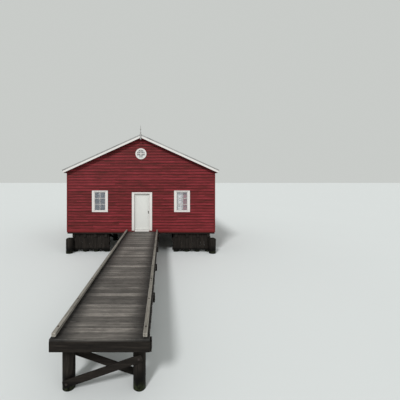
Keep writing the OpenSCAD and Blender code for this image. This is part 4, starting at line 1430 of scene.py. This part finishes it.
def make_sheets():
    """Corrugated sheets on both slopes, with every second one lapped over its neighbours."""
    sizes = bpy.context.scene.boathouse_roof
    y0, y1 = SHEET_LOW.y, SHEET_TOP.y
    sheet_wide = sizes.wave * sizes.cover
    lap = sizes.wave * 0.45
    for side, node in ((-1, "roof_sheet_left"), (1, "roof_sheet_right")):
        shape = Shape(node)
        for n in range(math.ceil((y1 - y0) / sheet_wide)):
            start, end = y0 + n * sheet_wide, min(y1, y0 + (n + 1) * sheet_wide)
            over = n % 2
            if over:
                start, end = max(y0, start - lap), min(y1, end + lap)
            add_sheet(shape, side, start, end, over)
        shape.build("corrugated_" + node, finish("roof_zinc"), "roof_metal", replaces=(node,), smooth=50)


def add_sheet(shape, side, start, end, over):
    """A closed thin corrugated sheet down a slope. over is 1 for a sheet on top of its neighbours."""
    sizes = bpy.context.scene.boathouse_roof
    metal, middle, lift, steps, top_run = 0.0014, 0.0095, 0.0011, 8, 0.012
    parts = max(4, round((end - start) / sizes.wave * steps))
    wide = parts + 1
    runs = (top_run, SLOPE_RUN * 0.5, SLOPE_RUN)
    points, faces = [], []
    for run in runs:
        upper, lower = [], []
        for i in range(wide):
            y = start + (end - start) * i / parts
            wave = math.cos(2 * math.pi * (y - SHEET_LOW.y) / sizes.wave)
            depth = middle - sizes.depth / 2 * wave - lift * over
            for line, below in ((upper, depth), (lower, depth + metal)):
                x, z = down_roof(side, run, below)
                line.append((x, y, z))
        points += upper + lower

    def at(row, layer, i):
        """The number of a point in the list."""
        return (row * 2 + layer) * wide + i

    last = len(runs) - 1
    for r in range(last):
        for i in range(parts):
            faces.append([at(r, 0, i), at(r, 0, i + 1), at(r + 1, 0, i + 1), at(r + 1, 0, i)])
            faces.append([at(r, 1, i), at(r + 1, 1, i), at(r + 1, 1, i + 1), at(r, 1, i + 1)])
        for i in (0, parts):
            faces.append([at(r, 0, i), at(r + 1, 0, i), at(r + 1, 1, i), at(r, 1, i)])
    for r in (0, last):
        for i in range(parts):
            faces.append([at(r, 0, i), at(r, 1, i), at(r, 1, i + 1), at(r, 0, i + 1)])
    shape.add(points, faces, points, shape.random.uniform(-1, 1))


def make_roof_screws():
    """Screws with washers through every third crest of the sheets into each batten."""
    sizes = bpy.context.scene.boathouse_roof
    shape = Shape("roof_screws")
    y0, y1 = SHEET_LOW.y, SHEET_TOP.y
    head = [(0.009, 0.0), (0.009, 0.0016), (0.0055, 0.002), (0.0055, 0.0058), (0.004, 0.0068)]
    sides, seat = 6, 0.0005
    for low, high in solid_boxes("roof_battens"):
        side = 1 if low.x > 0 or high.x > 0.5 else -1
        run = abs((low.x + high.x) / 2) / math.cos(PITCH)
        x, z = down_roof(side, run, seat)
        for n in range(2, int((y1 - y0) / sizes.wave), 3):
            shape.turned(head, (0, 0, 0), Z, sides)
            tilt_last(shape, sides * len(head), side * PITCH, (x, y0 + n * sizes.wave, z))
    shape.build("roof_screws", finish("screw_zinc"), "roof_metal")


def tilt_last(shape, count, lean, to):
    """Leans the last points square to a slope and moves them into place."""
    for i in range(len(shape.points) - count, len(shape.points)):
        x, y, z = shape.points[i]
        shape.points[i] = (
            to[0] + x * math.cos(lean) + z * math.sin(lean),
            to[1] + y,
            to[2] - x * math.sin(lean) + z * math.cos(lean),
        )


def make_roof_trim():
    """Barge boards, fascias, flashings, ridge cap and finials, with the bare timber below the sheets."""
    white = finish("white_paint")
    eased("barge_board_pairs", "barge_boards", white, X, 0.003)
    eased("fascia_boards", "eaves_fascias", white, Y, 0.003)
    set_finish("barge_flashings", "flashing_zinc")
    set_finish("ridge_cap", "flashing_zinc")
    set_finish("finials", "finial_paint")
    for node, name, along in (
        ("ridge_beam", "ridge_board", Y), ("rafters", "rafter_pairs", X), ("collar_ties", "ties_across", X),
        ("roof_battens", "battens_along", Y),
    ):
        eased(name, node, finish("new_timber"), along, 0.002)


class BOATHOUSE_OT_roof(bpy.types.Operator):
    """Lay the corrugated roof and finish its edges"""

    bl_idname = "boathouse.roof"
    bl_label = "Roof"

    def execute(self, context):
        return run_all((make_sheets, make_roof_screws, make_roof_trim))


def dome_outline(high, dome):
    """The rounded top of a log, as (height, share of its radius)."""
    steps, least = 6, 0.1
    outline = []
    for k in range(1, steps + 1):
        turn = math.pi / 2 * k / steps
        outline.append((high - dome + dome * math.sin(turn), max(least, math.cos(turn))))
    return outline


def add_log(shape, centre, low, high, radius, dome=0.0):
    """A round pile, slightly out of true, with drying cracks and a worn top."""
    chance = shape.random
    around, rings, worn, rough_by = 28, 9, 0.012, 0.0016
    crack_half, crack_deep, inset = 0.13, 0.009, 0.005
    waves = [(chance.randint(2, 5), chance.uniform(0, 6.3), chance.uniform(0.2, 1.0)) for _ in range(4)]
    cracks = [(chance.uniform(0, 2 * math.pi), chance.uniform(0.3, 1.0)) for _ in range(3)]
    outline = [(low + (high - low - dome - worn) * k / rings, 1.0) for k in range(rings + 1)]
    outline += dome_outline(high, dome) if dome else [(high - 0.003, 0.975), (high, 0.93)]
    points = []
    for z, share in outline:
        for turn in ring_points(around):
            rough = sum(a * math.sin(n * turn + p + 1.7 * z * a) for n, p, a in waves) * rough_by
            for at, deep in cracks:
                off = abs((turn - at - 0.12 * math.sin(3 * z) + math.pi) % (2 * math.pi) - math.pi)
                if off < crack_half:
                    rough -= crack_deep * deep * (1 - off / crack_half)
            r = (radius - inset + rough) * share
            points.append((centre[0] + r * math.cos(turn), centre[1] + r * math.sin(turn), z))
    shape.add(points, ring_faces(len(outline), around), [(p[2], p[0], p[1]) for p in points])


def make_logs():
    """Every pile as a weathered log."""
    for node, name, dome in (
        ("house_piles", "house_pile_logs", 0.0), ("jetty_piles", "jetty_pile_logs", 0.0),
        ("corner_fender_piles", "fender_logs", 0.09),
    ):
        shape = Shape(name)
        for low, high in solid_boxes(node):
            add_log(shape, (low + high) / 2, low.z, high.z, (high.x - low.x) / 2, dome)
        shape.build(name, finish("dark_log"), "weathered_timber", replaces=(node,), smooth=40)


def make_under_floor():
    """Braces, bearers and joists."""
    for node, name, along, cut in (
        ("pile_braces", "brace_planks", X, 0.004), ("floor_bearers", "bearer_beams", Y, 0.004),
        ("floor_joists", "joist_beams", X, 0.003),
    ):
        eased(name, node, finish("dark_beam"), along, cut)


def make_screens():
    """Upright dark boards of the screens under the front wall, which put a dark mass where there is shade
    below the house's front corners, with short ones between the bearers.
    """
    boards = bpy.context.scene.boathouse_boards.shade_screen_boards
    shape = Shape("screens")
    bearers = solid_boxes("floor_bearers")
    notch = bearers[0][0].z - 0.02
    board_gap, short_gap, side_gap, front_back, least = 0.004, 0.003, 0.006, 0.004, 0.03
    for low, high in solid_boxes("front_screens"):
        wide = (high.x - low.x) / boards
        for n in range(boards):
            x0 = low.x + n * wide
            short = shape.random.uniform(0, 0.03)
            front = low.y + shape.random.uniform(0, 0.006)
            foot = (x0 + board_gap, front, low.z + short)
            shape.bar(foot, (x0 + wide - board_gap, high.y, notch), Z, 0.005)
        x0 = low.x
        for left, right in [(b[0].x, b[1].x) for b in bearers if b[1].x > low.x] + [(high.x, high.x)]:
            x1 = min(left - side_gap, high.x)
            count = max(1, round((x1 - x0) / wide))
            for n in range(count):
                a, b = x0 + (x1 - x0) * n / count, x0 + (x1 - x0) * (n + 1) / count
                foot = (a + short_gap, low.y + front_back, notch)
                if b - a > least:
                    shape.bar(foot, (b - short_gap, high.y, high.z), Z, 0.004)
            x0 = right + side_gap
            if x0 > high.x:
                break
    shape.build("shade_screen_boards", finish("dark_beam"), "weathered_timber", replaces=("front_screens",))


def make_floor_planks():
    """The boards of the floor inside, in lengths."""
    low, high = FLOOR_LOW, FLOOR_TOP
    count = round((high.x - low.x) / bpy.context.scene.boathouse_boards.floor_board)
    wide = (high.x - low.x) / count
    side_gap, end_gap, longest, least, last = 0.0008, 0.0006, 4.2, 0.05, 0.6
    shape = Shape("floor")
    for n in range(count):
        x0, y = low.x + n * wide, low.y
        length = shape.random.uniform(1.2, 4.0)
        while y < high.y - least:
            end = min(high.y, y + length)
            if high.y - end < last:
                end = high.y
            near = (x0 + side_gap, y + end_gap, low.z)
            shape.bar(near, (x0 + wide - side_gap, end - end_gap, high.z), Y, 0.0015)
            y, length = end, longest
    shape.build("floor_planks", finish("new_timber"), "inside_timber", replaces=("floor_boards",))


class BOATHOUSE_OT_piles(bpy.types.Operator):
    """Build the piles and everything below and in the floor"""

    bl_idname = "boathouse.piles"
    bl_label = "Piles and floor"

    def execute(self, context):
        return run_all((make_logs, make_under_floor, make_screens, make_floor_planks))


def make_deck():
    """Deck boards with two nails on each stringer."""
    sizes = bpy.context.scene.boathouse_boards
    low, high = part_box("jetty_deck")
    middle = jetty_middle()
    count = round((high.y - low.y) / sizes.deck_board)
    wide = (high.y - low.y) / count
    gap = sizes.deck_gap / 2
    shape, nails = Shape("deck"), Shape("nails")
    lines = [middle_of(b).x for b in solid_boxes("jetty_stringers")]
    head, sunk = [(0.0052, 0.0), (0.0052, 0.0012), (0.0035, 0.002)], 0.0002
    for n in range(count):
        y0 = low.y + n * wide
        drop, warp = shape.random.uniform(0, 0.003), shape.random.uniform(-0.0015, 0.0015)
        ends = [shape.random.uniform(0, 0.008) for _ in range(2)]
        skew = lambda p, w=warp: p + Vector((0, 0, w * (p.x - middle)))
        top = high.z - 0.0016 - drop
        front = low.y if n == 0 else y0 + gap
        back = high.y if n == count - 1 else y0 + wide - gap
        shape.bar((low.x + ends[0], front, low.z), (high.x - ends[1], back, top), X, 0.009, skew=skew)
        for x in lines:
            for share in (0.25, 0.75):
                nail_x = x + nails.random.uniform(-0.01, 0.01)
                nail_y = y0 + wide * share + nails.random.uniform(-0.008, 0.008)
                nails.turned(head, (nail_x, nail_y, top - sunk), Z, 8)
    shape.build("deck_boards", finish("deck_board"), "deck_timber", replaces=("jetty_deck",))
    nails.build("deck_nails", finish("dark_iron"), "dark_iron")


def make_kerbs():
    """Kerb timbers in lengths that meet over a block, with bolt heads."""
    shape, bolts = Shape("kerbs"), Shape("kerb_bolts")
    blocks = solid_boxes("jetty_kerb_blocks")
    head = [(0.021, 0.0), (0.021, 0.003), (0.0125, 0.0035), (0.0125, 0.009), (0.009, 0.012)]
    sunk, at_joint, side = 0.003, 0.07, 0.001
    for low, high in solid_boxes("jetty_kerbs"):
        x = (low.x + high.x) / 2
        seats = sorted(middle_of(b).y for b in blocks if low.x - 0.01 < middle_of(b).x < high.x + 0.01)
        joints = [low.y] + [seats[i] for i in range(2, len(seats) - 2, 3)] + [high.y]
        for y0, y1 in zip(joints, joints[1:]):
            lean = shape.random.uniform(-0.002, 0.002)
            top = high.z - side - abs(lean)
            shape.bar((low.x + side, y0 + GAP, low.z), (high.x - side, y1 - GAP, top), Y, 0.009)
        for y in seats:
            for off in (-at_joint, at_joint) if y in joints else (0.0,):
                bolts.turned(head, (x, y + off, high.z - sunk), Z, 10)
    shape.build("kerb_timbers", finish("kerb_timber"), "deck_timber", replaces=("jetty_kerbs",))
    bolts.build("kerb_bolts", finish("dark_iron"), "dark_iron", smooth=30)
    eased("kerb_seats", "jetty_kerb_blocks", finish("dark_beam"), Y, 0.005)


def make_jetty_frame():
    """Beams, stringers and braces below the deck."""
    for node, name, along, cut in (
        ("jetty_cap_beams", "cap_timbers", X, 0.006), ("jetty_stringers", "stringer_timbers", Y, 0.004),
        ("jetty_braces", "jetty_brace_planks", X, 0.006), ("jetty_end_board", "end_board_plank", X, 0.006),
    ):
        eased(name, node, finish("dark_beam"), along, cut)


def make_frame_bolts():
    """A bolt where each slanting brace crosses a pile."""
    bolts = Shape("frame_bolts")
    head = [(0.026, 0.0), (0.026, 0.004), (0.015, 0.0045), (0.015, 0.013), (0.011, 0.016)]
    least_slant, reach = 0.3, 0.35
    for node, pile_node in (("jetty_braces", "jetty_piles"), ("pile_braces", "house_piles")):
        piles = [middle_of(b) for b in solid_boxes(pile_node)]
        for low, high in solid_boxes(node):
            if high.z - low.z < least_slant:
                continue
            middle = (low.y + high.y) / 2
            for pile in piles:
                if abs(pile.y - middle) >= reach or not low.x < pile.x < high.x:
                    continue
                z = brace_height(node, low, high, pile.x)
                flip, y = (-1, low.y) if pile.y > middle else (1, high.y)
                bolts.turned([(r, flip * h) for r, h in head], (pile.x, y, z), Y, 10)
    bolts.build("frame_bolts", finish("dark_iron"), "dark_iron", smooth=30)


def brace_height(node, low, high, x):
    """The height of a brace's middle line at x, from the corners of its slanting outline."""
    hair = 1e-4
    points = [
        v.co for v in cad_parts[node].data.vertices
        if low.y - hair <= v.co.y <= high.y + hair and low.x - hair <= v.co.x <= high.x + hair
    ]
    half = (low.x + high.x) / 2
    ends = []
    for side in ([p for p in points if p.x < half], [p for p in points if p.x >= half]):
        ends.append((sum(p.x for p in side) / len(side), sum(p.z for p in side) / len(side)))
    (x_left, z_left), (x_right, z_right) = ends
    return z_left + (z_right - z_left) * (x - x_left) / (x_right - x_left)


class BOATHOUSE_OT_jetty(bpy.types.Operator):
    """Build the jetty's deck, kerbs and frame"""

    bl_idname = "boathouse.jetty"
    bl_label = "Jetty"

    def execute(self, context):
        return run_all((make_deck, make_kerbs, make_jetty_frame, make_frame_bolts))


def make_camera():
    """The camera, level and square to the front."""
    stage = bpy.context.scene.boathouse_stage
    data = bpy.data.cameras.new("view_camera")
    camera = bpy.data.objects.new("view_camera", data)
    bpy.context.scene.collection.objects.link(camera)
    camera.location = (stage.sideways, BASE_LOW.y - stage.distance, BASE_LOW.z + stage.rise)
    camera.rotation_euler = (math.radians(90), 0, 0)
    data.sensor_width, data.lens = 36, stage.lens
    data.shift_x, data.shift_y = stage.shift_x, stage.shift_y
    data.clip_end = 500
    bpy.context.scene.camera = camera


def make_light():
    """A soft key light high on the left, a weak one from the right, and pale surroundings."""
    stage = bpy.context.scene.boathouse_stage
    for name, power, turn, size in (
        ("key_light", stage.sun, (52, 0, -22), 10), ("low_light", stage.sun * 0.25, (66, 0, 38), 40),
    ):
        data = bpy.data.lights.new(name, "SUN")
        data.energy, data.angle = power, math.radians(size)
        light = bpy.data.objects.new(name, data)
        light.rotation_euler = [math.radians(a) for a in turn]
        bpy.context.scene.collection.objects.link(light)
    world = bpy.data.worlds.new("pale_surroundings")
    world.use_nodes = True
    background = world.node_tree.nodes["Background"]
    background.inputs[0].default_value = rgb(stage.pale)
    background.inputs[1].default_value = stage.sky
    bpy.context.scene.world = world
    bpy.context.scene.view_settings.view_transform = "Standard"


def make_floor():
    """A plain pale floor at water level."""
    reach, below = 260.0, 0.001
    corners = [(reach * x, reach * y, 0) for x, y in ((-1, -1), (1, -1), (1, 1), (-1, 1))]
    mesh = bpy.data.meshes.new("stage_floor")
    mesh.from_pydata(corners, [], [(0, 1, 2, 3)])
    mesh.materials.append(stage_floor("stage_floor", bpy.context.scene.boathouse_stage.floor))
    floor = bpy.data.objects.new("stage_floor", mesh)
    floor.location.z = CAD_BOX[0][2] - below
    bpy.context.scene.collection.objects.link(floor)


class BOATHOUSE_OT_stage(bpy.types.Operator):
    """Set up the camera, light and floor"""

    bl_idname = "boathouse.stage"
    bl_label = "Stage"

    def execute(self, context):
        return run_all((make_camera, make_light, make_floor))


class BOATHOUSE_PT_panel(bpy.types.Panel):
    """Lists the steps that build the boathouse"""

    bl_idname = "BOATHOUSE_PT_panel"
    bl_label = "Boathouse"
    bl_space_type = "VIEW_3D"
    bl_region_type = "UI"
    bl_category = "Boathouse"

    def draw(self, context):
        for operator in STEPS:
            self.layout.operator(operator.bl_idname)
        for name in GROUPS:
            box = self.layout.box()
            settings = getattr(context.scene, name)
            for key in settings.__annotations__:
                box.prop(settings, key)


STEPS = (
    BOATHOUSE_OT_stage,
    BOATHOUSE_OT_walls,
    BOATHOUSE_OT_windows,
    BOATHOUSE_OT_door,
    BOATHOUSE_OT_curtains,
    BOATHOUSE_OT_roof,
    BOATHOUSE_OT_piles,
    BOATHOUSE_OT_jetty,
)
GROUPS = {
    "boathouse_paint": BoathousePaint,
    "boathouse_boards": BoathouseBoards,
    "boathouse_roof": BoathouseRoof,
    "boathouse_stage": BoathouseStage,
}


def register():
    """Registers the settings, operators and panel."""
    for kind in (*GROUPS.values(), *STEPS, BOATHOUSE_PT_panel):
        bpy.utils.register_class(kind)
    for name, kind in GROUPS.items():
        setattr(bpy.types.Scene, name, PointerProperty(type=kind))


def unregister():
    """Removes the settings, operators and panel."""
    for name in GROUPS:
        delattr(bpy.types.Scene, name)
    for kind in reversed((*GROUPS.values(), *STEPS, BOATHOUSE_PT_panel)):
        bpy.utils.unregister_class(kind)


def main():
    """Builds every piece and the stage."""
    register()
    make_groups()
    for operator in STEPS:
        area, name = operator.bl_idname.split(".")
        getattr(getattr(bpy.ops, area), name)()


if __name__ == "__main__":
    main()
